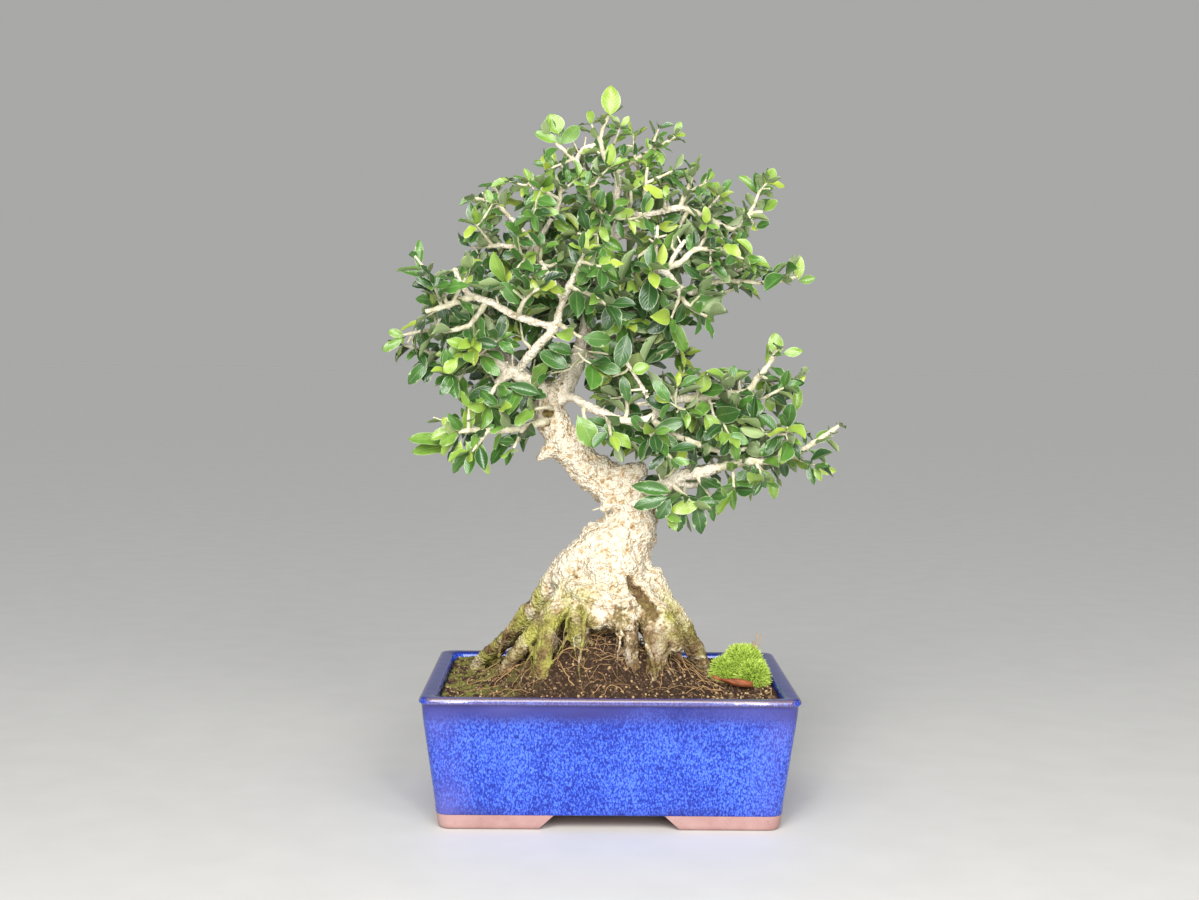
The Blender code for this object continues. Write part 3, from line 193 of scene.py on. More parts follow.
# Leafy shoots: each stem is a route of front-view x, z and depth y, its foot radius, and its leaf length
SHOOTS: dict[str, list[tuple[list[tuple[float, float, float]], float, float]]] = {
    "top_leader": [
        ([(2, 350, 4), (-4, 357, 4), (-6.5, 365, 3), (-6, 373, 2), (-2.5, 381, 1)], 1.8, 18),
        ([(-6.3, 364, 3), (-12, 376, 5)], 1.0, 13),
        ([(-3, 356, 4), (3.5, 374, -3)], 1.0, 12),
    ],
    "top_right": [
        ([(2, 349, 4), (9, 355, 2), (18, 360, 0), (27, 365, -1), (34, 370, -2)], 1.9, 12),
        ([(20, 361, 0), (25, 374, -4)], 1.1, 12),
        ([(12, 357, 1), (11, 371, 10)], 1.1, 12),
    ],
    "top_middle": [
        ([(20, 327, -6), (18, 336, -12), (18, 345, -14), (19, 353, -14)], 1.5, 13),
        ([(18, 344, -14), (33, 351, -18)], 1.1, 12),
    ],
    "top_left": [
        ([(-20, 355, 0), (-26, 361, -2), (-31, 365, -4), (-34, 369, -5)], 1.5, 17),
        ([(-22, 357, -1), (-34, 352, -9)], 1.0, 12),
    ],
    "crown_front": [([(-10, 330, 6), (-13, 337, -7), (-14, 343, -14)], 1.4, 12)],
    "crown_leader_front": [([(-2, 321, 8), (-6, 326, -6), (-8, 330, -14)], 1.4, 16)],
    "crown_front_right": [([(8, 328, 0), (10, 334, -12), (10, 340, -18)], 1.4, 14)],
    "left_shoulder": [
        ([(-31, 328, -1), (-29, 337, -2), (-31, 346, -4), (-36, 352, -6)], 1.5, 14),
        ([(-29.5, 338, -2.5), (-19, 347, -10)], 1.0, 12),
        ([(-29.5, 335, -2), (-46, 344, -5)], 1.1, 14),
    ],
    "left_shoulder_outer": [
        ([(-57, 325, -2), (-63, 331, -4), (-70, 334, -6), (-76, 335, -7)], 1.5, 14),
        ([(-60, 328, -3), (-65, 343, 0)], 1.1, 14),
    ],
    "upper_left_tip": [
        ([(-62, 309.3, -8), (-70, 308.7, -8), (-78, 308, -9)], 1.5, 13),
        ([(-66, 309, -8), (-75, 320, -18)], 1.1, 15),
    ],
    "left_tip": [
        ([(-77, 281, -27), (-86, 278, -28), (-94, 275, -28), (-103, 272.5, -28)], 2.2, 0),
        ([(-88.5, 277, -28), (-79, 295, -38)], 1.1, 13),
        ([(-91, 276, -28), (-95, 286, -25), (-101, 293, -23), (-109, 303, -21)], 1.2, 14),
        ([(-94, 275, -28), (-98, 286, -39)], 1.1, 16),
        ([(-96, 274.5, -28), (-106, 268, -20)], 1.1, 14),
    ],
    "left_low": [
        ([(-69, 279, -27), (-74, 271, -21), (-79, 264, -20), (-77, 257, -26)], 1.9, 13),
        ([(-78.5, 265, -20.2), (-90, 262, -18), (-103, 262, -15), (-117, 259, -12)], 1.5, 13),
    ],
    "left_rosette": [
        ([(-71, 249, -13), (-75, 250, -21), (-79, 251, -28)], 1.7, 16),
        ([(-73, 249.5, -18), (-63, 257, -28)], 1.1, 13),
    ],
    "left_long_low": [
        ([(-64, 244, -11), (-70, 244, -5), (-80, 246, -2), (-92, 248, 0), (-105, 251, 1), (-115, 254, 1)], 1.7, 15),
        ([(-76, 245, -3), (-85, 235, -11)], 1.1, 15),
    ],
    "left_drop": [([(-62, 234, -12), (-66, 228, -17), (-68, 221, -20)], 1.5, 15)],
    "low_left": [
        ([(-34, 213, -4), (-45, 210, -14), (-55, 207.5, -19), (-66, 206.5, -23), (-76, 207, -26),
          (-85, 206, -30)], 2.3, 17),
        ([(-79, 207, -27.5), (-79, 219, -27)], 1.1, 14),
        ([(-68, 206.6, -23.7), (-77, 195, -34)], 1.2, 16),
        ([(-57, 207.3, -19.7), (-62, 219, -28)], 1.2, 14),
        ([(-48, 209.3, -15.5), (-54, 197, -24)], 1.2, 14),
    ],
    "trunk_front": [([(-44, 233, -4), (-46, 230, -16), (-50, 230, -23)], 1.4, 17)],
    "trunk_fork": [([(-31, 219, -3), (-36, 220, -15), (-42, 219, -21)], 1.4, 15)],
    "bright_rosette": [
        ([(-20, 295, -41), (-18, 300, -46), (-16, 305, -50)], 1.6, 13),
        ([(-17.6, 301, -46.8), (-6, 298, -53)], 1.1, 13),
    ],
    "middle_front": [([(-24, 287, -37), (-17, 285, -44), (-9, 281, -50), (-3, 277, -54)], 1.5, 16)],
    "middle_low": [([(-30, 267, -31), (-24, 263, -40), (-17, 259, -46)], 1.5, 16)],
    "middle_left": [([(-52, 270.3, -29), (-50, 276, -38), (-46, 282, -44), (-40, 286, -48)], 1.5, 16)],
    "inner_left": [([(-44, 309, -9), (-48, 302, -18), (-52, 297, -24), (-57, 293, -28)], 1.4, 15)],
    "leader_right": [([(-9, 281, 9), (-2, 280, -6), (5, 273, -16), (8, 266, -22)], 1.6, 17)],
    "middle_right": [([(12, 296, -4), (13, 291, -16), (15, 286, -23)], 1.5, 16)],
    "gap_fringe": [([(-15, 262, 7), (-5, 258, 0), (6, 257, -3), (17, 258, -3), (25, 257, -2)], 1.6, 13)],
    "lime_low": [([(-17, 252, 6), (-9, 247, -5), (-1, 244, -10), (7, 242, -12)], 1.5, 14)],
    "middle_under": [([(-15, 222, -12), (-15, 216, -21), (-13, 210, -25)], 1.4, 19)],
    "middle_under_right": [([(-3, 217, -22), (-1, 211, -27), (0, 205, -29)], 1.3, 17)],
    "middle_rosette": [
        ([(14, 213, -26), (19, 209, -34), (24, 206, -39)], 1.5, 16),
        ([(20, 208.4, -35), (34, 192, -43)], 1.2, 14),
    ],
    "middle_upper": [([(8, 213, -26), (9, 221, -19), (8, 229, -15), (5, 236, -13)], 1.4, 13)],
    "right_middle": [
        ([(22, 215, -24), (31, 207, -21), (41, 203, -20), (51, 199.5, -19), (60, 196.5, -18), (68, 196.5, -17),
          (76, 198, -16)], 2.0, 14),
    ],
    "right_upper": [
        ([(40, 225.5, -13), (50, 226, -10), (63, 228, -8), (76, 230, -8), (81, 237, -9), (87, 244, -10),
          (92, 253, -11)], 2.4, 14),
        ([(48, 226, -10.6), (49, 239, -21)], 1.2, 16),
        ([(54, 226.6, -9.4), (58, 214, -19)], 1.2, 18),
        ([(62, 227.8, -8.1), (65, 240, 0)], 1.2, 13),
        ([(75, 229.8, -8), (83, 226, -13), (90, 229, -17), (96, 232, -19)], 1.2, 13),
    ],
    "right_low": [
        ([(58, 186.6, -17), (73, 190, -19), (82, 191, -20), (90, 191, -20), (102, 194.5, -20), (111, 200, -19),
          (120, 206, -18), (127, 211, -17)], 2.3, 13),
        ([(68, 188.9, -18.3), (69, 175, -27)], 1.2, 16),
        ([(81, 191, -20), (85, 180, -29)], 1.2, 14),
        ([(84, 191, -20), (85, 205, -12)], 1.2, 14),
        ([(95, 192.4, -20), (99, 209, -14)], 1.1, 13),
        ([(101, 194, -20), (114, 189, -28)], 1.1, 14),
    ],
    "neck_right": [([(23, 171.5, -10), (28, 168, -20), (32, 163, -25)], 1.5, 16)],
    "neck_right_low": [([(33, 178.5, -14), (40, 173, -21), (46, 167, -26)], 1.5, 17)],
    "neck_front": [([(18, 168, -8), (18, 174, -20), (17, 179, -26)], 1.4, 15)],
    "low_right_down": [([(47, 184, -16), (52, 177, -22), (56, 171, -26)], 1.4, 16)],
    "low_right_up": [([(42, 183, -15), (45, 190, -8), (48, 196, -4)], 1.4, 15)],
    "crown_right_up": [
        ([(37, 331, -11), (40, 338, -14), (43, 345, -16), (44, 351, -17)], 1.4, 15),
        ([(40.5, 339, -14.5), (52, 345, -22)], 1.0, 14),
    ],
    "crown_right_tip": [
        ([(40, 330.7, -11), (52, 325.5, -9), (60, 321.5, -7), (67, 319.5, -6), (72, 324, -7), (76, 328, -8),
          (83, 329, -9)], 1.9, 13),
        ([(50, 326.4, -9.3), (59, 338, -20)], 1.1, 14),
        ([(75, 327, -7.8), (79, 335, -10), (81, 340, -11), (85, 345, -12)], 1.2, 14),
        ([(58, 322.5, -7.5), (61, 311, -19)], 1.1, 14),
    ],
    "middle_right_upper": [
        ([(31, 298, -13), (38, 301, -16), (46, 308, -17), (57, 308, -18), (70, 309.5, -19)], 1.8, 13),
        ([(47, 308, -17), (54, 318, -10)], 1.2, 0),
        ([(60, 308.4, -18.2), (73, 303, -29)], 1.1, 13),
    ],
    "middle_right_long": [
        ([(44, 284, -6), (50, 286, -4), (56, 290, -3), (66, 291, -3), (80, 290, -4), (94, 291, -6),
          (103, 294, -8)], 1.8, 14),
        ([(60, 290.6, -3), (76, 300, -12)], 1.2, 13),
    ],
    "middle_right_low": [
        ([(36, 288, -9), (39, 281, -15), (45, 275, -20), (53, 271, -23)], 1.6, 17),
        ([(38, 283, -13.5), (33, 270, -26)], 1.2, 17),
    ],
    "upper_middle": [([(24, 311, -15), (19, 307, -24), (13, 303, -30)], 1.4, 16)],
    "back_low_left": [
        ([(-43, 220, 34), (-50, 225, 46), (-58, 229, 57), (-64, 236, 64)], 1.7, 16),
        ([(-48, 223, 42), (-38, 236, 56)], 1.2, 15),
    ],
    "back_leader": [
        ([(1, 257.5, 32), (10, 258, 44), (20, 256, 54), (30, 252, 62)], 1.7, 16),
        ([(7, 258, 40), (2, 244, 58)], 1.2, 15),
    ],
    "back_left": [
        ([(-30, 291, 38), (-40, 296, 50), (-50, 302, 58), (-60, 306, 62)], 1.7, 16),
        ([(-36, 294, 45), (-32, 310, 60)], 1.2, 15),
    ],
    "back_right": [
        ([(18, 322, 34), (28, 328, 44), (38, 332, 50), (48, 336, 54)], 1.6, 15),
        ([(24, 325.6, 40), (18, 342, 50)], 1.1, 14),
    ],
    "back_top": [
        ([(-11, 343, 26), (-18, 349, 34), (-26, 352, 40), (-34, 354, 44)], 1.5, 14),
        ([(-15, 346.5, 31), (-6, 361, 38)], 1.1, 13),
    ],
    "back_neck": [
        ([(48, 186.5, 41), (58, 188, 50), (68, 190, 56), (80, 196, 60)], 1.8, 15),
        ([(58, 188, 50), (48, 204, 60)], 1.2, 15),
    ],
    "back_far_left": [
        ([(-65, 252.4, 26), (-75, 258, 36), (-86, 264, 44), (-96, 268, 48)], 1.7, 15),
        ([(-72, 256, 33), (-68, 273, 48)], 1.2, 15),
    ],
    "back_middle": [
        ([(36, 284, 46), (48, 282, 52), (60, 284, 54), (72, 288, 54)], 1.6, 15),
        ([(43, 283, 50), (46, 299, 62)], 1.1, 14),
    ],
}

def linear(code: str) -> tuple[float, float, float, float]:
    """Turn an sRGB hex colour into a linear one.

    Args:
        code: six hex digits, such as "8f7a5c".

    Returns:
        Red, green, blue and an alpha of 1.
    """
    parts = [int(code[i:i + 2], 16) / 255 for i in (0, 2, 4)]
    red, green, blue = (c / 12.92 if c <= 0.04045 else ((c + 0.055) / 1.055) ** 2.4 for c in parts)
    return red, green, blue, 1.0


def add_node(tree: bpy.types.NodeTree, kind: str, settings: dict[str, Any] | None = None,
             links: dict[str | int, Any] | None = None,
             stops: Sequence[tuple[float, str]] = ()) -> bpy.types.Node:
    """Add a node with its settings and links.

    Args:
        tree: the tree that gets the node.
        kind: Blender's class name of the node.
        settings: attributes of the node and their values.
        links: inputs by name or index, each with a value or with the socket that feeds it.
        stops: places and hex colours of a colour ramp.

    Returns:
        The new node.
    """
    node = tree.nodes.new(kind)
    for key, value in (settings or {}).items():
        setattr(node, key, value)
    for key, value in (links or {}).items():
        if isinstance(value, bpy.types.NodeSocket):
            tree.links.new(value, node.inputs[key])
        else:
            node.inputs[key].default_value = value
    for k, (place, code) in enumerate(stops):
        ramp = node.color_ramp.elements
        stop = ramp[k] if k < 2 else ramp.new(place)
        stop.position = place
        stop.color = linear(code)
    return node


def smooth_step(low: float, high: float, value: float) -> float:
    """Rise smoothly from 0 at low to 1 at high."""
    t = min(1.0, max(0.0, (value - low) / (high - low)))
    return t * t * (3 - 2 * t)


def spline(points: Sequence[Vector], step: float) -> list[Vector]:
    """Run a Catmull-Rom curve through points of any dimension.

    Args:
        points: the points that the curve passes through.
        step: the rough distance between samples.

    Returns:
        Samples from the first point to the last.
    """
    ends = [points[0] * 2 - points[1], *points, points[-1] * 2 - points[-2]]
    samples: list[Vector] = []
    for a, b, c, d in zip(ends, ends[1:], ends[2:], ends[3:]):
        count = max(1, round((c.to_3d() - b.to_3d()).length / step))
        for k in range(count):
            t = k / count
            samples.append(0.5 * (2 * b + (c - a) * t + (2 * a - 5 * b + 4 * c - d) * t * t
                                  + (3 * b - a - 3 * c + d) * t ** 3))
    samples.append(points[-1].copy())
    return samples


def seen(x: float, z: float, y: float) -> Vector:
    """Find the real point, in millimetres, that the front view shows at (x, z) and that lies at depth y."""
    far = (y - EYE.y) / -EYE.y
    return Vector((EYE.x + (x - EYE.x) * far, y, EYE.z + (z - EYE.z) * far))


def in_view(point: Vector) -> Vector:
    """Find where the front view shows a real point: x and z on the middle plane, and 0."""
    far = (point.y - EYE.y) / -EYE.y
    return Vector((EYE.x + (point.x - EYE.x) / far, EYE.z + (point.z - EYE.z) / far, 0.0))


def outward(obj: bpy.types.Object) -> bpy.types.Object:
    """Turn an object's faces outwards."""
    bm = bmesh.new()
    bm.from_mesh(obj.data)
    bmesh.ops.recalc_face_normals(bm, faces=bm.faces)
    bm.to_mesh(obj.data)
    bm.free()
    return obj


def note(obj: bpy.types.Object, name: str, kind: str, values: Sequence[Any], domain: str = "POINT") -> None:
    """Write an attribute on an object's mesh.

    Args:
        obj: the object.
        name: the attribute's name.
        kind: Blender's name of its type.
        values: one value for each point, edge or face.
        domain: what the values belong to.
    """
    data = obj.data.attributes.new(name, kind, domain).data
    if kind == "FLOAT_VECTOR":
        data.foreach_set("vector", [c for value in values for c in value])
    else:
        data.foreach_set("value", values)


@dataclass
class Bench:
    """Where pieces are made: turns millimetres of the pot's frame into the row's metres, and links objects."""

    shift: Vector
    shop: bpy.types.Collection

    def metres(self, point: Vector) -> Vector:
        """Turn a point of the pot's frame, in millimetres, into the row's frame, in metres."""
        return (point.to_3d() + self.shift) * MM

    def mesh(self, name: str, verts: Iterable[Vector], faces: Iterable[Sequence[int]],
             finish: bpy.types.Material | None = None) -> bpy.types.Object:
        """Make a mesh object from points in millimetres.

        Args:
            name: the object's name.
            verts: points in the pot's frame, in millimetres.
            faces: corner numbers of each face.
            finish: the material, if it has one yet.

        Returns:
            The object, linked and at the origin.
        """
        data = bpy.data.meshes.new(name)
        data.from_pydata([self.metres(v) for v in verts], [], [tuple(f) for f in faces])
        if finish:
            data.materials.append(finish)
        obj = bpy.data.objects.new(name, data)
        self.shop.objects.link(obj)
        return obj

    def strands(self, name: str, routes: Sequence[Sequence[Vector]], fresh: Sequence[float] = ()) -> bpy.types.Object:
        """Make a curve object of open strands.

        Args:
            name: the object's name.
            routes: points of x, y, z and radius in millimetres, for each strand.
            fresh: how green each strand is, carried as the tilt of its points.

        Returns:
            The object.
        """
        curve = bpy.data.curves.new(name, "CURVE")
        curve.dimensions = "3D"
        for k, route in enumerate(routes):
            line = curve.splines.new("POLY")
            line.points.add(len(route) - 1)
            for point, place in zip(line.points, route):
                point.co = (*self.metres(place), 1.0)
                point.radius = place.w * MM
                point.tilt = fresh[k] if fresh else 0.0
        obj = bpy.data.objects.new(name, curve)
        self.shop.objects.link(obj)
        return obj

    def settle(self, guide: bpy.types.Object, name: str) -> bpy.types.Object:
        """Turn a guide and its live modifiers into one plain mesh object, and remove the guide."""
        graph = bpy.context.evaluated_depsgraph_get()
        data = bpy.data.meshes.new_from_object(guide.evaluated_get(graph), preserve_all_data_layers=True,
                                               depsgraph=graph)
        bpy.data.objects.remove(guide)
        data.name = name
        obj = bpy.data.objects.new(name, data)
        self.shop.objects.link(obj)
        return obj


class Rule:
    """A Geometry Nodes tree with named inputs that is grown on a guide and settled into a plain mesh."""

    SOCKETS = {float: "NodeSocketFloat", int: "NodeSocketInt", bpy.types.Material: "NodeSocketMaterial",
               bpy.types.Collection: "NodeSocketCollection"}

    def __init__(self, name: str, inputs: dict[str, Any]) -> None:
        """Start a tree.

        Args:
            name: the tree's name.
            inputs: input names with the values that they start from, or with a type.
        """
        self.tree = bpy.data.node_groups.new(name, "GeometryNodeTree")
        self.tree.interface.new_socket("Geometry", in_out="INPUT", socket_type="NodeSocketGeometry")
        self.tree.interface.new_socket("Geometry", in_out="OUTPUT", socket_type="NodeSocketGeometry")
        for key, value in inputs.items():
            kind = value if isinstance(value, type) else type(value)
            socket = self.tree.interface.new_socket(key, in_out="INPUT", socket_type=self.SOCKETS[kind])
            if not isinstance(value, type):
                socket.default_value = value
        self.source = self.tree.nodes.new("NodeGroupInput").outputs

    def add(self, kind: str, settings: dict[str, Any] | None = None,
            links: dict[str | int, Any] | None = None) -> bpy.types.Node:
        """Add a node to the tree, with its settings and links."""
        return add_node(self.tree, kind, settings, links)

    def end(self, geometry: bpy.types.NodeSocket, finish: bpy.types.NodeSocket) -> None:
        """End the tree in realized instances, smooth shading and a material."""
        real = self.add("GeometryNodeRealizeInstances", links={"Geometry": geometry})
        dressed = self.add("GeometryNodeSetMaterial", links={"Geometry": real.outputs[0], "Material": finish})
        self.add("NodeGroupOutput", links={0: dressed.outputs[0]})

    def grow(self, bench: Bench, guide: bpy.types.Object, name: str, values: dict[str, Any]) -> bpy.types.Object:
        """Grow the tree on a guide.

        Args:
            bench: where the piece is made.
            guide: the mesh or curve that the rule works on, which is used up.
            name: the finished piece's name.
            values: input names with their values.

        Returns:
            The finished piece as a plain mesh object.
        """
        step = guide.modifiers.new("rule", "NODES")
        step.node_group = self.tree
        keys = {item.name: item.identifier for item in self.tree.interface.items_tree if item.in_out == "INPUT"}
        for key, value in values.items():
            step[keys[key]] = value
        return bench.settle(guide, name)


def start_finish(name: str, **values: Any) -> tuple[bpy.types.Material, bpy.types.NodeTree, bpy.types.Node]:
    """Start a material on one Principled shader.

    Args:
        name: the material's name.
        values: shader inputs that are the same all over, with underscores for the spaces of their names.

    Returns:
        The material, its tree and the shader.
    """
    mat = bpy.data.materials.new(name)
    mat.use_nodes = True
    shader = mat.node_tree.nodes["Principled BSDF"]
    for key, value in values.items():
        shader.inputs[key.replace("_", " ")].default_value = value
    return mat, mat.node_tree, shader


@dataclass(frozen=True)
class CobaltGlaze:
    """Cobalt stoneware glaze, dipped and fired glossy: azure crystals float in deep blue where it ran thick,
    it turns violet where it is thin over a corner, with a painted highlight there, the rim's top is painted deep navy
    for a dark reflection, and brown clay shows where the rim's edge broke it."""

    deep: str = "0c2489"
    middle: str = "2043b5"
    azure: str = "4f73dc"
    pool_and_dark_reflection: str = "141863"
    violet: str = "5f5ca3"
    broken: str = "6b5647"
    crystal_mm: float = 0.75

    def build(self) -> bpy.types.Material:
        """Build the material. It reads the pot's own attributes thin, broken and pooled; thin also
        carries a painted highlight at the corners, and the last a painted dark reflection on the rim's top.
        """
        mat, tree, shader = start_finish("cobalt_glaze", IOR=1.5)
        place = add_node(tree, "ShaderNodeTexCoord").outputs["Object"]
        run = add_node(tree, "ShaderNodeMapping", links={"Vector": place, "Scale": (1.0, 1.0, 0.55)}).outputs[0]
        crystals = add_node(tree, "ShaderNodeTexVoronoi", {"feature": "SMOOTH_F1"},
                            {"Vector": run, "Scale": 1000 / self.crystal_mm, "Smoothness": 0.35,
                             "Randomness": 1.0})
        fine = add_node(tree, "ShaderNodeTexNoise", links={"Vector": run, "Scale": 900.0, "Detail": 3.0})
        drift = add_node(tree, "ShaderNodeTexNoise", links={"Vector": run, "Scale": 70.0, "Detail": 3.0})
        cloud = add_node(tree, "ShaderNodeTexNoise", links={"Vector": run, "Scale": 22.0, "Detail": 2.0})
        spots = add_node(tree, "ShaderNodeMath", {"operation": "MULTIPLY_ADD"},
                         {0: crystals.outputs["Distance"], 1: -0.7, 2: fine.outputs["Fac"]})
        spread = add_node(tree, "ShaderNodeMath", {"operation": "MULTIPLY_ADD"},
                          {0: drift.outputs["Fac"], 1: 0.4, 2: spots.outputs[0]})
        level = add_node(tree, "ShaderNodeMath", {"operation": "MULTIPLY_ADD"},
                         {0: cloud.outputs["Fac"], 1: 0.22, 2: spread.outputs[0]})
        body = add_node(tree, "ShaderNodeValToRGB", links={"Fac": level.outputs[0]},
                        stops=((0.24, self.deep), (0.44, self.middle), (0.68, self.azure)))
        # Deep navy where the glaze pooled, and as a painted dark reflection on the rim's top
        pool_and_dark_reflection = add_node(tree, "ShaderNodeAttribute", {"attribute_name": "pooled"}).outputs["Fac"]
        low = add_node(tree, "ShaderNodeMixRGB", links={0: pool_and_dark_reflection, 1: body.outputs[0], 2: linear(self.pool_and_dark_reflection)})
        # Violet where the glaze is thin, which at the corners is also a painted highlight
        thin = add_node(tree, "ShaderNodeAttribute", {"attribute_name": "thin"}).outputs["Fac"]
        tinted = add_node(tree, "ShaderNodeMixRGB", links={0: thin, 1: low.outputs[0], 2: linear(self.violet)})
        bare = add_node(tree, "ShaderNodeAttribute", {"attribute_name": "broken"}).outputs["Fac"]
        edged = add_node(tree, "ShaderNodeMixRGB", links={0: bare, 1: tinted.outputs[0], 2: linear(self.broken)})
        gloss = add_node(tree, "ShaderNodeMapRange", links={"Value": bare, "To Min": 0.07, "To Max": 0.1})
        ripple = add_node(tree, "ShaderNodeTexNoise", links={"Vector": place, "Scale": 120.0, "Detail": 1.0})
        bump = add_node(tree, "ShaderNodeBump", links={"Strength": 0.10, "Distance": 0.0012,
                                                       "Height": ripple.outputs["Fac"]})
        for key, value in (("Base Color", edged), ("Roughness", gloss), ("Normal", bump)):
            tree.links.new(value.outputs[0], shader.inputs[key])
        return mat


@dataclass(frozen=True)
class FiredClay:
    """Unglazed stoneware foot, wiped with a sponge: dry pinkish buff with fine dark grit."""

    buff: str = "9d7671"
    pale: str = "ae8c86"
    grit: str = "6b504c"

    def build(self) -> bpy.types.Material:
        """Build the material."""
        mat, tree, shader = start_finish("fired_clay", Roughness=0.88)
        place = add_node(tree, "ShaderNodeTexCoord").outputs["Object"]
        cloud = add_node(tree, "ShaderNodeTexNoise", links={"Vector": place, "Scale": 90.0, "Detail": 4.0})
        body = add_node(tree, "ShaderNodeValToRGB", links={"Fac": cloud.outputs["Fac"]},
                        stops=((0.3, self.buff), (0.7, self.pale)))
        grain = add_node(tree, "ShaderNodeTexNoise", links={"Vector": place, "Scale": 1100.0, "Detail": 2.0})
        specks = add_node(tree, "ShaderNodeMapRange", links={"Value": grain.outputs["Fac"], "From Min": 0.66,
                                                             "From Max": 0.74, "To Max": 0.6})
        mixed = add_node(tree, "ShaderNodeMixRGB", links={0: specks.outputs[0], 1: body.outputs[0], 2: linear(self.grit)})
        bump = add_node(tree, "ShaderNodeBump", links={"Strength": 0.35, "Distance": 0.0004,
                                                       "Height": grain.outputs["Fac"]})
        tree.links.new(mixed.outputs[0], shader.inputs["Base Color"])
        tree.links.new(bump.outputs[0], shader.inputs["Normal"])
        return mat


@dataclass(frozen=True)
class OliveBark:
    """Old olive bark, weathered dry: cream flakes over tan, rust and painted shade in the cracks and pits,
    painted dark shade in the hollows, and green algae on wet roots.
    """

    name: str = "olive_bark"
    cream: str = "ddd2bc"
    tan: str = "bca17a"
    rust: str = "a98052"
    # crack_shade: dark crack colour, used as painted shade where the relief is lowest
    crack_shade: str = "4a3423"
    algae: str = "a9a552"
    algae_deep: str = "5d5c2a"
    loam: str = "75583c"
    # damp_and_shade: dark wet earth near the soil, and the painted shade inside the hollows
    damp_and_shade: str = "2b1e15"
    granule_mm: float = 1.5
    rise_mm: float = 1.1

    def build(self) -> bpy.types.Material:
        """Build the material. It reads the wood's attribute wear: green algae; wet, which also carries
        painted shade in the hollows; and relief_shade, whose low places take painted cavity shade.
        """
        mat, tree, shader = start_finish(self.name, Roughness=0.86, Specular_IOR_Level=0.25)
        place = add_node(tree, "ShaderNodeTexCoord").outputs["Object"]
        wear = add_node(tree, "ShaderNodeAttribute", {"attribute_name": "wear"}).outputs["Vector"]
        parts = add_node(tree, "ShaderNodeSeparateXYZ", links={0: wear})
        flakes = add_node(tree, "ShaderNodeTexNoise", links={"Vector": place, "Scale": 320.0, "Detail": 4.0,
                                                             "Roughness": 0.6})
        specks = add_node(tree, "ShaderNodeTexNoise", links={"Vector": place, "Scale": 1100.0, "Detail": 3.0})
        cells = add_node(tree, "ShaderNodeTexVoronoi", {"feature": "F1"},
                         {"Vector": place, "Scale": 1000 / self.granule_mm})
        gaps = add_node(tree, "ShaderNodeMath", {"operation": "MULTIPLY_ADD"}, {0: cells.outputs["Distance"], 1: -0.2,
                                                                                2: flakes.outputs["Fac"]})
        # Low relief pulls the tint towards rust: partly the bark's colour, partly painted shade in the pits
        tint = add_node(tree, "ShaderNodeMath", {"operation": "MULTIPLY_ADD"}, {0: parts.outputs[2], 1: 0.5,
                                                                                2: gaps.outputs[0]})
        body = add_node(tree, "ShaderNodeValToRGB", links={"Fac": tint.outputs[0]},
                        stops=((0.32, self.rust), (0.48, self.tan), (0.65, self.cream)))
        rust = add_node(tree, "ShaderNodeMapRange", links={"Value": specks.outputs["Fac"], "From Min": 0.60,
                                                           "From Max": 0.74, "To Max": 0.2})
        specked = add_node(tree, "ShaderNodeMixRGB", links={0: rust.outputs[0], 1: body.outputs[0],
                                                            2: linear(self.rust)})
        # Painted shade: the crack colour fills the lowest relief, in the pits and cracks
        low = add_node(tree, "ShaderNodeMapRange", links={"Value": parts.outputs[2], "From Min": 0.36,
                                                          "From Max": 0.12, "To Max": 0.82})
        cavity_shaded = add_node(tree, "ShaderNodeMixRGB", links={0: low.outputs[0], 1: specked.outputs[0],
                                                            2: linear(self.crack_shade)})
        green = add_node(tree, "ShaderNodeValToRGB", links={"Fac": gaps.outputs[0]},
                         stops=((0.12, self.algae_deep), (0.42, self.algae)))
        mossy = add_node(tree, "ShaderNodeMixRGB", links={0: parts.outputs[0], 1: cavity_shaded.outputs[0],
                                                          2: green.outputs[0]})
        earth = add_node(tree, "ShaderNodeValToRGB", links={"Fac": gaps.outputs[0]},
                         stops=((0.12, self.damp_and_shade), (0.5, self.loam)))
        # The earth colours darken the bark where it is soaked near the soil and, as painted shade, inside the hollows
        wet = add_node(tree, "ShaderNodeMixRGB", links={0: parts.outputs[1], 1: mossy.outputs[0], 2: earth.outputs[0]})
        rough = add_node(tree, "ShaderNodeMath", {"operation": "MULTIPLY_ADD"},
                         {0: specks.outputs["Fac"], 1: 0.6, 2: gaps.outputs[0]})
        grains = add_node(tree, "ShaderNodeMath", {"operation": "MULTIPLY_ADD"},
                          {0: cells.outputs["Distance"], 1: -0.9, 2: rough.outputs[0]})
        bump = add_node(tree, "ShaderNodeBump", links={"Strength": 1.0, "Distance": self.rise_mm * MM, "Height": grains.outputs[0]})
        tree.links.new(wet.outputs[0], shader.inputs["Base Color"])
        tree.links.new(bump.outputs[0], shader.inputs["Normal"])
        return mat


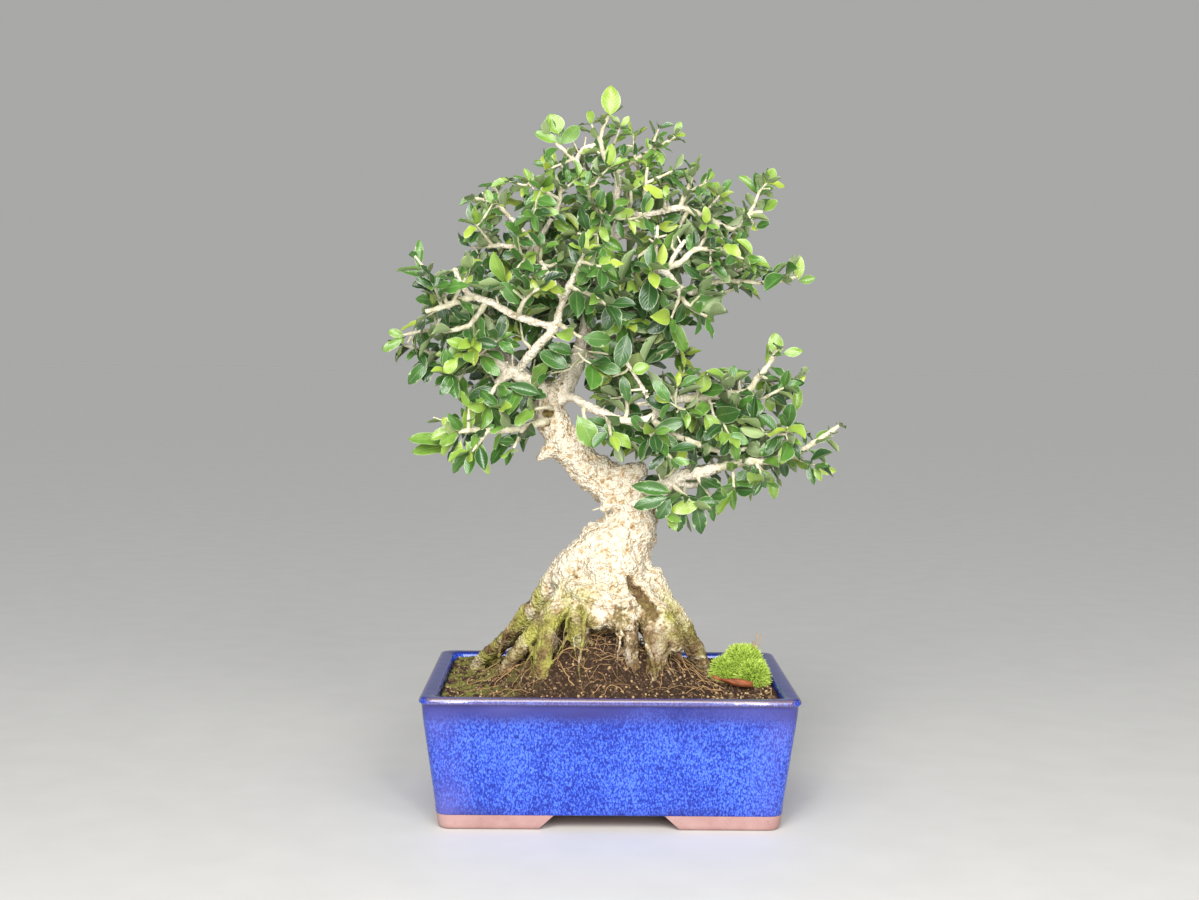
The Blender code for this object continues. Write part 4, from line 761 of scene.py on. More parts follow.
@dataclass(frozen=True)
class TwigBark:
    """Young olive bark, thin and smooth: grey beige with pale pores, and green on this year's wood."""

    beige: str = "ebe0cb"
    grey: str = "c2b496"
    green: str = "8f9c5c"

    def build(self) -> bpy.types.Material:
        """Build the material. It reads the twigs' attribute fresh."""
        mat, tree, shader = start_finish("twig_bark", Roughness=0.72, Specular_IOR_Level=0.3)
        place = add_node(tree, "ShaderNodeTexCoord").outputs["Object"]
        pores = add_node(tree, "ShaderNodeTexNoise", links={"Vector": place, "Scale": 420.0, "Detail": 4.0})
        body = add_node(tree, "ShaderNodeValToRGB", links={"Fac": pores.outputs["Fac"]},
                        stops=((0.36, self.grey), (0.56, self.beige)))
        fresh = add_node(tree, "ShaderNodeAttribute", {"attribute_name": "fresh"}).outputs["Fac"]
        mixed = add_node(tree, "ShaderNodeMixRGB", links={0: fresh, 1: body.outputs[0], 2: linear(self.green)})
        bump = add_node(tree, "ShaderNodeBump", links={"Strength": 0.5, "Distance": 0.0003,
                                                       "Height": pores.outputs["Fac"]})
        tree.links.new(mixed.outputs[0], shader.inputs["Base Color"])
        tree.links.new(bump.outputs[0], shader.inputs["Normal"])
        return mat


@dataclass(frozen=True)
class OliveLeaf:
    """Living olive leaf: leathery with a waxy upper face, dull and paler underneath, and lime when new."""

    ages: tuple[tuple[float, str], ...] = ((0.0, "17331a"), (0.3, "2c5322"), (0.5, "4c7a2d"), (0.72, "84a43e"),
                                           (1.0, "a9ba42"))
    under: str = "9aa878"
    rib: str = "a3b476"
    rim: str = "c6cfa4"

    def build(self) -> bpy.types.Material:
        """Build the material. It reads the leaf's attributes blade, underside and tone."""
        mat, tree, shader = start_finish("olive_leaf", Specular_IOR_Level=0.7)
        blade = add_node(tree, "ShaderNodeAttribute", {"attribute_name": "blade"}).outputs["Vector"]
        tone = add_node(tree, "ShaderNodeAttribute", {"attribute_name": "tone"}).outputs["Fac"]
        under = add_node(tree, "ShaderNodeAttribute", {"attribute_name": "underside"}).outputs["Fac"]
        place = add_node(tree, "ShaderNodeTexCoord").outputs["Object"]
        parts = add_node(tree, "ShaderNodeSeparateXYZ", links={0: blade})
        across = add_node(tree, "ShaderNodeMath", {"operation": "ABSOLUTE"}, {0: parts.outputs[1]})
        cloud = add_node(tree, "ShaderNodeTexNoise", links={"Vector": place, "Scale": 210.0, "Detail": 3.0})
        aged = add_node(tree, "ShaderNodeMath", {"operation": "MULTIPLY_ADD"}, {0: cloud.outputs["Fac"], 1: 0.22, 2: tone})
        level = add_node(tree, "ShaderNodeMath", {"operation": "SUBTRACT"}, {0: aged.outputs[0], 1: 0.11})
        body = add_node(tree, "ShaderNodeValToRGB", links={"Fac": level.outputs[0]}, stops=self.ages)
        veins = add_node(tree, "ShaderNodeMath", {"operation": "MULTIPLY_ADD"}, {0: across.outputs[0], 1: -0.35,
                                                                                 2: parts.outputs[0]})
        wave = add_node(tree, "ShaderNodeMath", {"operation": "SINE"},
                        {0: add_node(tree, "ShaderNodeMath", {"operation": "MULTIPLY"},
                                     {0: veins.outputs[0], 1: 46.0}).outputs[0]})
        vein = add_node(tree, "ShaderNodeMapRange", links={"Value": wave.outputs[0], "From Min": 0.86,
                                                           "From Max": 1.0, "To Max": 0.07})
        rib = add_node(tree, "ShaderNodeMapRange", links={"Value": across.outputs[0], "From Min": 0.10,
                                                          "From Max": 0.02, "To Max": 0.26})
        rim = add_node(tree, "ShaderNodeMapRange", links={"Value": across.outputs[0], "From Min": 0.86,
                                                          "From Max": 0.99, "To Max": 0.5})
        pale = add_node(tree, "ShaderNodeMixRGB", links={0: under, 1: body.outputs[0], 2: linear(self.under)})
        half = add_node(tree, "ShaderNodeMixRGB", links={0: 0.35, 1: pale.outputs[0], 2: body.outputs[0]})
        veined = add_node(tree, "ShaderNodeMixRGB", links={0: vein.outputs[0], 1: half.outputs[0], 2: linear(self.rib)})
        ribbed = add_node(tree, "ShaderNodeMixRGB", links={0: rib.outputs[0], 1: veined.outputs[0], 2: linear(self.rib)})
        rimmed = add_node(tree, "ShaderNodeMixRGB", links={0: rim.outputs[0], 1: ribbed.outputs[0], 2: linear(self.rim)})
        dull = add_node(tree, "ShaderNodeMapRange", links={"Value": under, "To Min": 0.3, "To Max": 0.6})
        bump = add_node(tree, "ShaderNodeBump", links={"Strength": 0.15, "Distance": 0.0002, "Height": wave.outputs[0]})
        for key, value in (("Base Color", rimmed), ("Roughness", dull), ("Normal", bump)):
            tree.links.new(value.outputs[0], shader.inputs[key])
        return mat


@dataclass(frozen=True)
class PottingGrit:
    """Bonsai soil of bark crumb, peat and grit, watered from above: near black with tan flecks and a green crust."""

    black: str = "33251a"
    brown: str = "755b46"
    fleck: str = "b5996f"
    crust: str = "76753a"

    def build(self) -> bpy.types.Material:
        """Build the material. It reads the crumbs' attribute tone."""
        mat, tree, shader = start_finish("potting_grit", Roughness=0.95, Specular_IOR_Level=0.2)
        place = add_node(tree, "ShaderNodeTexCoord").outputs["Object"]
        tone = add_node(tree, "ShaderNodeAttribute", {"attribute_name": "tone"}).outputs["Fac"]
        crumb = add_node(tree, "ShaderNodeTexNoise", links={"Vector": place, "Scale": 520.0, "Detail": 5.0})
        patch = add_node(tree, "ShaderNodeTexNoise", links={"Vector": place, "Scale": 130.0, "Detail": 4.0})
        level = add_node(tree, "ShaderNodeMath", {"operation": "MULTIPLY_ADD"}, {0: tone, 1: 0.55,
                                                                                 2: crumb.outputs["Fac"]})
        body = add_node(tree, "ShaderNodeValToRGB", links={"Fac": level.outputs[0]},
                        stops=((0.5, self.black), (0.95, self.brown), (1.07, self.fleck)))
        side = add_node(tree, "ShaderNodeSeparateXYZ", links={0: place}).outputs[0]
        left = add_node(tree, "ShaderNodeMapRange", {"interpolation_type": "SMOOTHSTEP"},
                        {"Value": side, "From Min": -0.035, "From Max": -0.085})
        spots = add_node(tree, "ShaderNodeMapRange", links={"Value": patch.outputs["Fac"], "From Min": 0.47,
                                                            "From Max": 0.56, "To Max": 0.85})
        green = add_node(tree, "ShaderNodeMath", {"operation": "MULTIPLY"}, {0: left.outputs[0], 1: spots.outputs[0]})
        mixed = add_node(tree, "ShaderNodeMixRGB", links={0: green.outputs[0], 1: body.outputs[0], 2: linear(self.crust)})
        bump = add_node(tree, "ShaderNodeBump", links={"Strength": 0.8, "Distance": 0.0008,
                                                       "Height": crumb.outputs["Fac"]})
        tree.links.new(mixed.outputs[0], shader.inputs["Base Color"])
        tree.links.new(bump.outputs[0], shader.inputs["Normal"])
        return mat


@dataclass(frozen=True)
class TwoTone:
    """A plain growing or dead stuff that fades between two colours along the attribute tone."""

    name: str
    low: str
    high: str
    roughness: float
    speck_mm: float = 1.0

    def build(self) -> bpy.types.Material:
        """Build the material."""
        mat, tree, shader = start_finish(self.name, Roughness=self.roughness, Specular_IOR_Level=0.3)
        place = add_node(tree, "ShaderNodeTexCoord").outputs["Object"]
        tone = add_node(tree, "ShaderNodeAttribute", {"attribute_name": "tone"}).outputs["Fac"]
        speck = add_node(tree, "ShaderNodeTexNoise", links={"Vector": place, "Scale": 1000 / self.speck_mm,
                                                            "Detail": 3.0})
        level = add_node(tree, "ShaderNodeMath", {"operation": "MULTIPLY_ADD"}, {0: speck.outputs["Fac"], 1: 0.5,
                                                                                 2: tone})
        body = add_node(tree, "ShaderNodeValToRGB", links={"Fac": level.outputs[0]},
                        stops=((0.25, self.low), (1.0, self.high)))
        bump = add_node(tree, "ShaderNodeBump", links={"Strength": 0.4, "Distance": 0.0003,
                                                       "Height": speck.outputs["Fac"]})
        tree.links.new(body.outputs[0], shader.inputs["Base Color"])
        tree.links.new(bump.outputs[0], shader.inputs["Normal"])
        return mat


@dataclass(frozen=True)
class CushionMoss:
    """Cushion moss, wet and growing: lime at the tip of each tiny leaf, and painted shade at the foot, where the stems
    crowd.
    """

    tip: str = "bdd25c"
    leaf: str = "7a9c2e"
    # base: painted shade at the foot of the tufts
    base: str = "2c4210"

    def build(self) -> bpy.types.Material:
        """Build the material. It reads the tufts' attributes pile, from foot to tip, and tone."""
        mat, tree, shader = start_finish("cushion_moss", Roughness=0.7, Specular_IOR_Level=0.35)
        pile = add_node(tree, "ShaderNodeAttribute", {"attribute_name": "pile"}).outputs["Fac"]
        tone = add_node(tree, "ShaderNodeAttribute", {"attribute_name": "tone"}).outputs["Fac"]
        level = add_node(tree, "ShaderNodeMath", {"operation": "MULTIPLY_ADD"}, {0: tone, 1: 0.3, 2: pile})
        body = add_node(tree, "ShaderNodeValToRGB", links={"Fac": level.outputs[0]},
                        stops=((0.1, self.base), (0.6, self.leaf), (1.0, self.tip)))
        tree.links.new(body.outputs[0], shader.inputs["Base Color"])
        return mat


@dataclass
class GlazedPot:
    """The pot: one rounded glazed body on four unglazed corner feet, with its drain holes."""

    bench: Bench
    rim: tuple[float, float] = (200.0, 150.0)
    foot: tuple[float, float] = (180.2, 130.2)
    height: float = 71.2
    rim_width: float = 8.5
    foot_height: float = 8.0
    foot_ring: float = 11.0
    floor: float = 15.0
    corner: float = 7.0
    corner_steps: int = 9
    front_gap: tuple[float, float] = (75.0, 58.0)
    side_gap: tuple[float, float] = (56.0, 42.0)
    drain: tuple[float, float] = (45.0, 9.0)

    def outer(self, z: float) -> tuple[float, float]:
        """Half width and half depth of the body's wall at a height."""
        share = z / (self.height - 3.5)
        return tuple((low + (high - 2.0 - low) * share) / 2 for low, high in zip(self.foot, self.rim))

    def inner(self, z: float) -> tuple[float, float]:
        """Half width and half depth of the pot's inside at a height."""
        low = [side - 8.0 for side in self.outer(self.floor)]
        high = [side / 2 - self.rim_width for side in self.rim]
        share = (z - self.floor) / (self.height - self.floor)
        return tuple(a + (b - a) * share for a, b in zip(low, high))

    def ring(self, half: tuple[float, float], z: float, radius: float) -> list[Vector]:
        """Lay out a rounded rectangle, counter-clockwise, with points along its straight sides too."""
        points: list[Vector] = []
        width, depth = half
        for k, (sx, sy) in enumerate(((1, 1), (-1, 1), (-1, -1), (1, -1))):
            centre = Vector((sx * (width - radius), sy * (depth - radius), z))
            for step in range(self.corner_steps + 1):
                turn = math.pi / 2 * (k + step / self.corner_steps)
                points.append(centre + Vector((math.cos(turn), math.sin(turn), 0)) * radius)
            following = ((-1, 1), (-1, -1), (1, -1), (1, 1))[k]
            turn = math.pi / 2 * (k + 1)
            start = points[-1]
            end = Vector((following[0] * (width - radius), following[1] * (depth - radius), z))
            end += Vector((math.cos(turn), math.sin(turn), 0)) * radius
            count = 10 if k % 2 == 0 else 8
            points += [start.lerp(end, step / count) for step in range(1, count)]
        return points

    def profile(self) -> list[tuple[tuple[float, float], float, float]]:
        """List the rings from the foot's underside, over the rim and down to the inside floor."""
        def out(z: float, more: float = 0.0) -> tuple[tuple[float, float], float, float]:
            width, depth = self.outer(z)
            return (width + more, depth + more), z, self.corner + more

        top, band = self.height, self.height - 3.5
        rows = [out(0.0, -1.6), out(0.35, -0.7), out(1.3, -0.15), out(3.0), out(7.6), out(8.0, 0.0),
                out(8.15, 0.22), out(8.8, 0.42), out(10.5, 0.25), out(14.0), out(28.0), out(42.0), out(56.0)]
        rows += [out(62.0, -0.1), out(65.6, -0.35), out(67.2, -0.25), out(band, 0.25)]
        rim = tuple(side / 2 for side in self.rim)
        for z, more in ((band + 0.3, -0.35), (band + 0.7, -0.05), (band + 1.2, 0.0), (top - 1.4, -0.33),
                        (top - 0.7, -0.66), (top - 0.3, -0.98), (top - 0.08, -1.5), (top, -2.3)):
            rows.append(((rim[0] + more, rim[1] + more), z, self.corner + 1 + more))
        for z, more in ((top - 0.05, -4.0), (top - 0.22, -6.6), (top - 0.6, -7.7), (top - 1.4, -8.35)):
            rows.append(((rim[0] + more, rim[1] + more), z, self.corner + 1 + more / 4))
        for z in (66.0, 55.0, 35.0, 18.0):
            rows.append((self.inner(z), z, self.corner))
        width, depth = self.inner(self.floor)
        rows += [((width - 1.0, depth - 1.0), self.floor + 0.5, self.corner),
                 ((width - 3.0, depth - 3.0), self.floor, self.corner)]
        return rows

    def shell(self) -> bpy.types.Object:
        """Loft the closed bowl that the feet are then cut from."""
        rows = [self.ring(half, z, radius) for half, z, radius in self.profile()]
        count = len(rows[0])
        verts = [p for row in rows for p in row]
        faces = [[r * count + k, r * count + (k + 1) % count, (r + 1) * count + (k + 1) % count,
                  (r + 1) * count + k] for r in range(len(rows) - 1) for k in range(count)]
        faces += [list(reversed(range(count))), [(len(rows) - 1) * count + k for k in range(count)]]
        return outward(self.bench.mesh("pot_shell", verts, faces))

    def block(self, low: tuple[float, float], high: tuple[float, float], z0: float, z1: float) -> bpy.types.Object:
        """Make a cutter between two rectangles, given by half sizes."""
        verts = [Vector((sx * w, sy * d, z)) for (w, d), z in ((low, z0), (high, z1))
                 for sx, sy in ((-1, -1), (1, -1), (1, 1), (-1, 1))]
        faces = [(3, 2, 1, 0), (4, 5, 6, 7), (0, 1, 5, 4), (1, 2, 6, 5), (2, 3, 7, 6), (3, 0, 4, 7)]
        return outward(self.bench.mesh("cutter", verts, faces))

    def cutters(self) -> list[bpy.types.Object]:
        """Make what the feet and the drain holes are cut with."""
        ring = tuple(side / 2 - self.foot_ring for side in self.foot)
        slope = (self.front_gap[0] - self.front_gap[1]) / 2 / self.foot_height
        side_slope = (self.side_gap[0] - self.side_gap[1]) / 2 / self.foot_height
        front, side = (tuple(w / 2 for w in gap) for gap in (self.front_gap, self.side_gap))
        cuts = [self.block(ring, ring, -1.0, self.foot_height),
                self.block((front[0] + slope, 200.0), (front[1], 200.0), -1.0, self.foot_height),
                self.block((200.0, side[0] + side_slope), (200.0, side[1]), -1.0, self.foot_height)]
        for sx in (-1, 1):
            circle = [Vector((sx * self.drain[0] + self.drain[1] * math.cos(math.tau * k / 32),
                              self.drain[1] * math.sin(math.tau * k / 32), z)) for z in (1.0, 19.0) for k in range(32)]
            faces = [(k, (k + 1) % 32, 32 + (k + 1) % 32, 32 + k) for k in range(32)]
            faces += [tuple(reversed(range(32))), tuple(range(32, 64))]
            cuts.append(outward(self.bench.mesh("cutter", circle, faces)))
        return cuts

    def mark(self, pot: bpy.types.Object) -> None:
        """Write where the glaze is thin, with a painted highlight at the corners, where it broke, and where it
        pooled, with a painted dark reflection on the rim's top, and give the feet and underside the bare clay.
        """
        data = pot.data
        thin, broken, pooled = [], [], []
        for v in data.vertices:
            p = v.co / MM - self.bench.shift
            half = self.outer(min(p.z, 67.7))
            corner = (max(0.0, abs(p.x) - half[0] + 24.0), max(0.0, abs(p.y) - half[1] + 9.0))
            near = min(corner[0] / 24.0, corner[1] / 9.0) if p.z < 67.7 else 0.0
            reach = max(abs(p.x) - self.rim[0] / 2, abs(p.y) - self.rim[1] / 2)
            haze = smooth_step(57.0, 65.0, p.z) * smooth_step(-4.0, -2.0, reach) if p.z < 67.9 else 0.0
            drift = 0.6 + 1.2 * noise.noise(p * 0.035)
            # Thin glaze near the top, and violet at the corners, where it is also a painted highlight
            thin.append(min(1.0, max(0.6 * smooth_step(0.0, 0.95, near) * drift, 0.4 * haze * drift, 0.0)))
            lip = smooth_step(self.height - 1.9, self.height - 0.7, p.z) * smooth_step(-2.4, -1.2, reach)
            seat = smooth_step(self.height - 4.4, self.height - 3.4, p.z) * smooth_step(-1.3, -0.7, reach)
            broken.append(min(0.95, max(0.9 * lip, 0.55 * seat * (1.0 if p.z < 70 else 0.0))))
            # Rim top: pooled glaze, painted deep navy as a dark reflection
            top = smooth_step(self.height - 1.2, self.height - 0.4, p.z) * smooth_step(-1.4, -2.6, reach)
            foot = smooth_step(17.0, 8.5, p.z) * (0.45 + noise.noise(p * 0.05))
            # A band that darkens towards the rim, from 52 to 65 mm
            brim = smooth_step(52.0, 65.0, p.z) * (1.05 + 0.6 * noise.noise(p * 0.06)) * (p.z < 67.9)
            pooled.append(min(1.0, max(0.85 * top, 0.75 * foot, 0.85 * brim, 0.0)))
        note(pot, "thin", "FLOAT", thin)
        note(pot, "broken", "FLOAT", broken)
        note(pot, "pooled", "FLOAT", pooled)
        for face in data.polygons:
            p = face.center / MM - self.bench.shift
            glazed = p.z > self.foot_height + 0.05 or (p.z > self.floor - 0.5)
            face.material_index = 0 if glazed and face.normal.z > -0.9 else 1

    def build(self, glaze: bpy.types.Material, clay: bpy.types.Material) -> bpy.types.Object:
        """Build the pot and put it in the place of its solid.

        Args:
            glaze: the finish of the body.
            clay: the finish of the feet and underside.

        Returns:
            The pot.
        """
        shell = self.shell()
        cuts = self.cutters()
        for cut in cuts:
            step = shell.modifiers.new("cut", "BOOLEAN")
            step.operation, step.object, step.solver = "DIFFERENCE", cut, "EXACT"
        pot = self.bench.settle(shell, "glazed_pot")
        for cut in cuts:
            bpy.data.objects.remove(cut)
        soften = pot.modifiers.new("soften", "BEVEL")
        soften.width, soften.segments, soften.limit_method = 0.7 * MM, 3, "ANGLE"
        soften.angle_limit, soften.use_clamp_overlap = math.radians(38), True
        pot = self.bench.settle(pot, "glazed_pot")
        pot.data.materials.clear()
        pot.data.materials.append(glaze)
        pot.data.materials.append(clay)
        self.mark(pot)
        pot.data.shade_smooth()
        pot.data.set_sharp_from_angle(angle=math.radians(42))
        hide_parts("pot")
        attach(pot, "root")
        return pot


@dataclass
class PottingSoil:
    """The soil: a mounded bed with crumbs on it and fine tan roots that lie over it."""

    bench: Bench
    pot: GlazedPot
    edge: float = 66.4
    mounds: tuple[tuple[float, float, float, float, float], ...] = (
        (-4.0, -19.0, 25.0, 22.0, 29.0), (-42.0, -3.0, 16.0, 19.0, 14.0), (33.0, -6.0, 14.0, 19.0, 9.0),
        (10.0, 66.0, 110.0, 26.0, 3.0), (84.0, 0.0, 24.0, 30.0, 2.0))
    step: float = 1.3
    clearance: float = 0.7
    crumbs_per_cm2: float = 22.0
    rootlets: int = 250

    def height(self, x: float, y: float) -> float:
        """Height of the bed's surface in millimetres, before its crumbs."""
        rise = sum(h * math.exp(-((x - cx) / sx) ** 2 / 2 - ((y - cy) / sy) ** 2 / 2)
                   for cx, cy, sx, sy, h in self.mounds)
        return self.edge + rise + 0.9 * noise.noise(Vector((x * 0.06, y * 0.06, 3.7)))

    def surface(self, x: float, y: float) -> Vector:
        """A point of the crumbled surface."""
        spot = Vector((x, y, 0))
        rough = 1.1 * noise.noise(spot * 0.21) + 0.7 * noise.noise(spot * 0.5) + 0.45 * noise.noise(spot * 1.1)
        return Vector((x, y, self.height(x, y) + rough))

    def bed(self, finish: bpy.types.Material) -> bpy.types.Object:
        """Make the closed bed: a crumbled top, straight sides against the pot's wall, and a flat underside."""
        width, depth = (side - self.clearance for side in self.pot.inner(self.edge))
        low = tuple(side - self.clearance for side in self.pot.inner(self.pot.floor))
        nx, ny = round(2 * width / self.step), round(2 * depth / self.step)
        round_off = self.pot.corner
        verts = []
        for j in range(ny + 1):
            for i in range(nx + 1):
                x, y = -width + 2 * width * i / nx, -depth + 2 * depth * j / ny
                out = Vector((max(0.0, abs(x) - width + round_off), max(0.0, abs(y) - depth + round_off)))
                if out.length > round_off:
                    out *= round_off / out.length
                    x = math.copysign(width - round_off + out.x, x)
                    y = math.copysign(depth - round_off + out.y, y)
                verts.append(self.surface(x, y))
        cell = nx + 1
        faces = [(j * cell + i, j * cell + i + 1, (j + 1) * cell + i + 1, (j + 1) * cell + i)
                 for j in range(ny) for i in range(nx)]
        rim = ([i for i in range(nx)] + [j * cell + nx for j in range(ny)]
               + [ny * cell + i for i in range(nx, 0, -1)] + [j * cell for j in range(ny, 0, -1)])
        base = len(verts)
        shrink = (low[0] / width, low[1] / depth)
        verts += [Vector((verts[k].x * shrink[0], verts[k].y * shrink[1], self.pot.floor + 0.4)) for k in rim]
        count = len(rim)
        faces += [(rim[(k + 1) % count], rim[k], base + k, base + (k + 1) % count) for k in range(count)]
        faces.append(tuple(base + k for k in reversed(range(count))))
        bed = self.bench.mesh("soil_bed", verts, faces, finish)
        note(bed, "tone", "FLOAT", [0.0] * len(bed.data.vertices))
        bed.data.shade_smooth()
        return bed

    def crumb_shapes(self) -> bpy.types.Collection:
        """Make a few unit crumbs to scatter."""
        shapes = bpy.data.collections.new("crumb_shapes")
        bpy.context.scene.collection.children.link(shapes)
        for k in range(5):
            bm = bmesh.new()
            bmesh.ops.create_icosphere(bm, subdivisions=1, radius=0.5)
            for v in bm.verts:
                v.co *= 0.75 + 0.9 * abs(noise.noise(v.co * 2.3 + Vector((k * 5.1, 2, 8))))
                v.co.z *= 0.72
            data = bpy.data.meshes.new(f"crumb_{k}")
            bm.to_mesh(data)
            bm.free()
            shapes.objects.link(bpy.data.objects.new(f"crumb_{k}", data))
        return shapes

    def scatter_rule(self) -> Rule:
        """Write the rule that strews crumbs over a surface, each with its own size, turn and tone."""
        rule = Rule("strewn_crumbs", {"Per Square Metre": 1.0, "Smallest": 0.001, "Largest": 0.002, "Seed": 0,
                                      "Shapes": bpy.types.Collection, "Finish": bpy.types.Material})
        src = rule.source
        spots = rule.add("GeometryNodeDistributePointsOnFaces", {"distribute_method": "RANDOM"},
                         {"Mesh": src[0], "Density": src["Per Square Metre"], "Seed": src["Seed"]})
        tone = rule.add("FunctionNodeRandomValue", {"data_type": "FLOAT"}, {2: 0.0, 3: 1.0, "Seed": 3})
        size = rule.add("FunctionNodeRandomValue", {"data_type": "FLOAT"},
                        {2: src["Smallest"], 3: src["Largest"], "Seed": src["Seed"]})
        turn = rule.add("FunctionNodeRandomValue", {"data_type": "FLOAT_VECTOR"},
                        {0: (0.0, 0.0, 0.0), 1: (6.28, 6.28, 6.28), "Seed": src["Seed"]})
        toned = rule.add("GeometryNodeStoreNamedAttribute", {"data_type": "FLOAT", "domain": "POINT"},
                         {"Geometry": spots.outputs["Points"], "Name": "tone", "Value": tone.outputs[1]})
        shapes = rule.add("GeometryNodeCollectionInfo", links={"Collection": src["Shapes"], "Separate Children": True,
                                                               "Reset Children": True})
        placed = rule.add("GeometryNodeInstanceOnPoints",
                          links={"Points": toned.outputs[0], "Instance": shapes.outputs[0], "Pick Instance": True,
                                 "Rotation": turn.outputs[0], "Scale": size.outputs[1]})
        rule.end(placed.outputs[0], src["Finish"])
        return rule

    def crumbs(self, finish: bpy.types.Material) -> bpy.types.Object:
        """Strew crumbs over the bed."""
        width, depth = (side - 2.2 for side in self.pot.inner(self.edge))
        nx, ny = 60, 44
        verts = [self.surface(-width + 2 * width * i / nx, -depth + 2 * depth * j / ny)
                 for j in range(ny + 1) for i in range(nx + 1)]
        cell = nx + 1
        faces = [(j * cell + i, j * cell + i + 1, (j + 1) * cell + i + 1, (j + 1) * cell + i)
                 for j in range(ny) for i in range(nx)]
        guide = self.bench.mesh("crumb_guide", verts, faces)
        shapes = self.crumb_shapes()
        crumbs = self.scatter_rule().grow(self.bench, guide, "soil_crumbs", {
            "Per Square Metre": self.crumbs_per_cm2 * 1e4, "Smallest": 0.6 * MM, "Largest": 2.4 * MM, "Seed": 5,
            "Shapes": shapes, "Finish": finish})
        clear_collection(shapes)
        return crumbs

    def threads(self, finish: bpy.types.Material, rng: random.Random) -> bpy.types.Object:
        """Lay fine roots over the bed, thickest round the trunk's foot."""
        routes = []
        width, depth = (side - 4.0 for side in self.pot.inner(self.edge))
        while len(routes) < self.rootlets:
            x, y = rng.gauss(-3, 40), rng.gauss(-14, 26)
            if abs(x) > width or abs(y) > depth:
                continue
            heading = rng.uniform(0, math.tau)
            thick = rng.choice((0.12, 0.13, 0.15, 0.17, 0.2, 0.26, 0.4))
            arch = rng.uniform(0.3, 3.6)
            steps = rng.randint(5, 12)
            route = []
            for k in range(steps + 1):
                heading += rng.uniform(-0.6, 0.6)
                x += math.cos(heading) * 2.0
                y += math.sin(heading) * 2.0
                x, y = max(-width, min(width, x)), max(-depth, min(depth, y))
                lift = arch * math.sin(math.pi * k / steps) + 0.5
                route.append(Vector((*self.surface(x, y).xy, self.surface(x, y).z + lift, thick * (1 - 0.5 * k / steps))))
            routes.append(spline(route, 1.0))
        return strand_rule().grow(self.bench, self.bench.strands("rootlet_guide", routes), "fine_roots",
                                  {"Sides": 4, "Finish": finish})

    def build(self, grit: bpy.types.Material, root: bpy.types.Material, rng: random.Random) -> list[bpy.types.Object]:
        """Build the bed, its crumbs and its fine roots."""
        bed = self.bed(grit)
        crumbs = self.crumbs(grit)
        threads = self.threads(root, rng)
        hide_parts("soil")
        for piece, slot in ((bed, "soil"), (crumbs, "soil"), (threads, "bark")):
            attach(piece, "root")
        return [bed, crumbs, threads]


def clear_collection(group: bpy.types.Collection) -> None:
    """Remove a collection of scattered shapes with its objects."""
    for obj in list(group.objects):
        bpy.data.objects.remove(obj)
    bpy.data.collections.remove(group)


def strand_rule() -> Rule:
    """Write the rule that gives round bark to strands, from their own radius."""
    rule = Rule("round_strands", {"Sides": 6, "Finish": bpy.types.Material})
    src = rule.source
    ring = rule.add("GeometryNodeCurvePrimitiveCircle", links={"Resolution": src["Sides"], "Radius": 1.0})
    radius = rule.add("GeometryNodeInputRadius")
    tilt = rule.add("GeometryNodeInputCurveTilt")
    green = rule.add("GeometryNodeStoreNamedAttribute", {"data_type": "FLOAT", "domain": "POINT"},
                     {"Geometry": src[0], "Name": "fresh", "Value": tilt.outputs[0]})
    skin = rule.add("GeometryNodeCurveToMesh", links={"Curve": green.outputs[0], "Profile Curve": ring.outputs[0],
                                                      "Scale": radius.outputs[0], "Fill Caps": True})
    soft = rule.add("GeometryNodeSetShadeSmooth", links={"Geometry": skin.outputs[0]})
    rule.end(soft.outputs[0], src["Finish"])
    return rule


@dataclass
class Limb:
    """A stretch of wood: samples of x, y, z and radius, how far along each lies, and a frame that follows it."""

    name: str
    places: list[Vector]
    run: list[float] = field(default_factory=list)
    frames: list[tuple[Vector, Vector, Vector]] = field(default_factory=list)

    def __post_init__(self) -> None:
        """Carry a frame along the samples without twist."""
        spots = [p.to_3d() for p in self.places]
        side = (spots[1] - spots[0]).normalized().orthogonal().normalized()
        total = 0.0
        for k, spot in enumerate(spots):
            before, after = spots[max(0, k - 1)], spots[min(len(spots) - 1, k + 1)]
            along = (after - before).normalized()
            side = (side - along * side.dot(along)).normalized()
            total += (spot - spots[k - 1]).length if k else 0.0
            self.run.append(total)
            self.frames.append((along, side, along.cross(side)))

    def shell(self, sides: int, waver: float) -> tuple[list[Vector], list[list[int]]]:
        """Skin the limb with a closed tube.

        Args:
            sides: how many sides the tube has.
            waver: how much the radius varies, as a share.

        Returns:
            Points in millimetres, and faces.
        """
        verts: list[Vector] = []
        last = len(self.places) - 1
        rows = [(0, -0.55, 0.55)] + [(k, 0.0, 1.0) for k in range(last + 1)] + [(last, 0.45, 0.6)]
        for k, ahead, share in rows:
            place, (along, side, over) = self.places[k], self.frames[k]
            for s in range(sides):
                turn = math.tau * s / sides
                way = side * math.cos(turn) + over * math.sin(turn)
                spot = place.to_3d() + way * place.w
                wave = 1 + waver * noise.noise(spot * 0.16)
                verts.append(place.to_3d() + along * ahead * place.w + way * place.w * share * wave)
        count = len(rows)
        faces = [[r * sides + s, r * sides + (s + 1) % sides, (r + 1) * sides + (s + 1) % sides,
                  (r + 1) * sides + s] for r in range(count - 1) for s in range(sides)]
        faces += [list(reversed(range(sides))), [(count - 1) * sides + s for s in range(sides)]]
        return verts, faces


def limb_along(name: str, points: Sequence[Sequence[float]], step: float = 1.6) -> Limb:
    """Make a limb from front-view points of x, z, depth y and radius."""
    return Limb(name, spline([Vector((*seen(x, z, y), r)) for x, z, y, r in points], step))


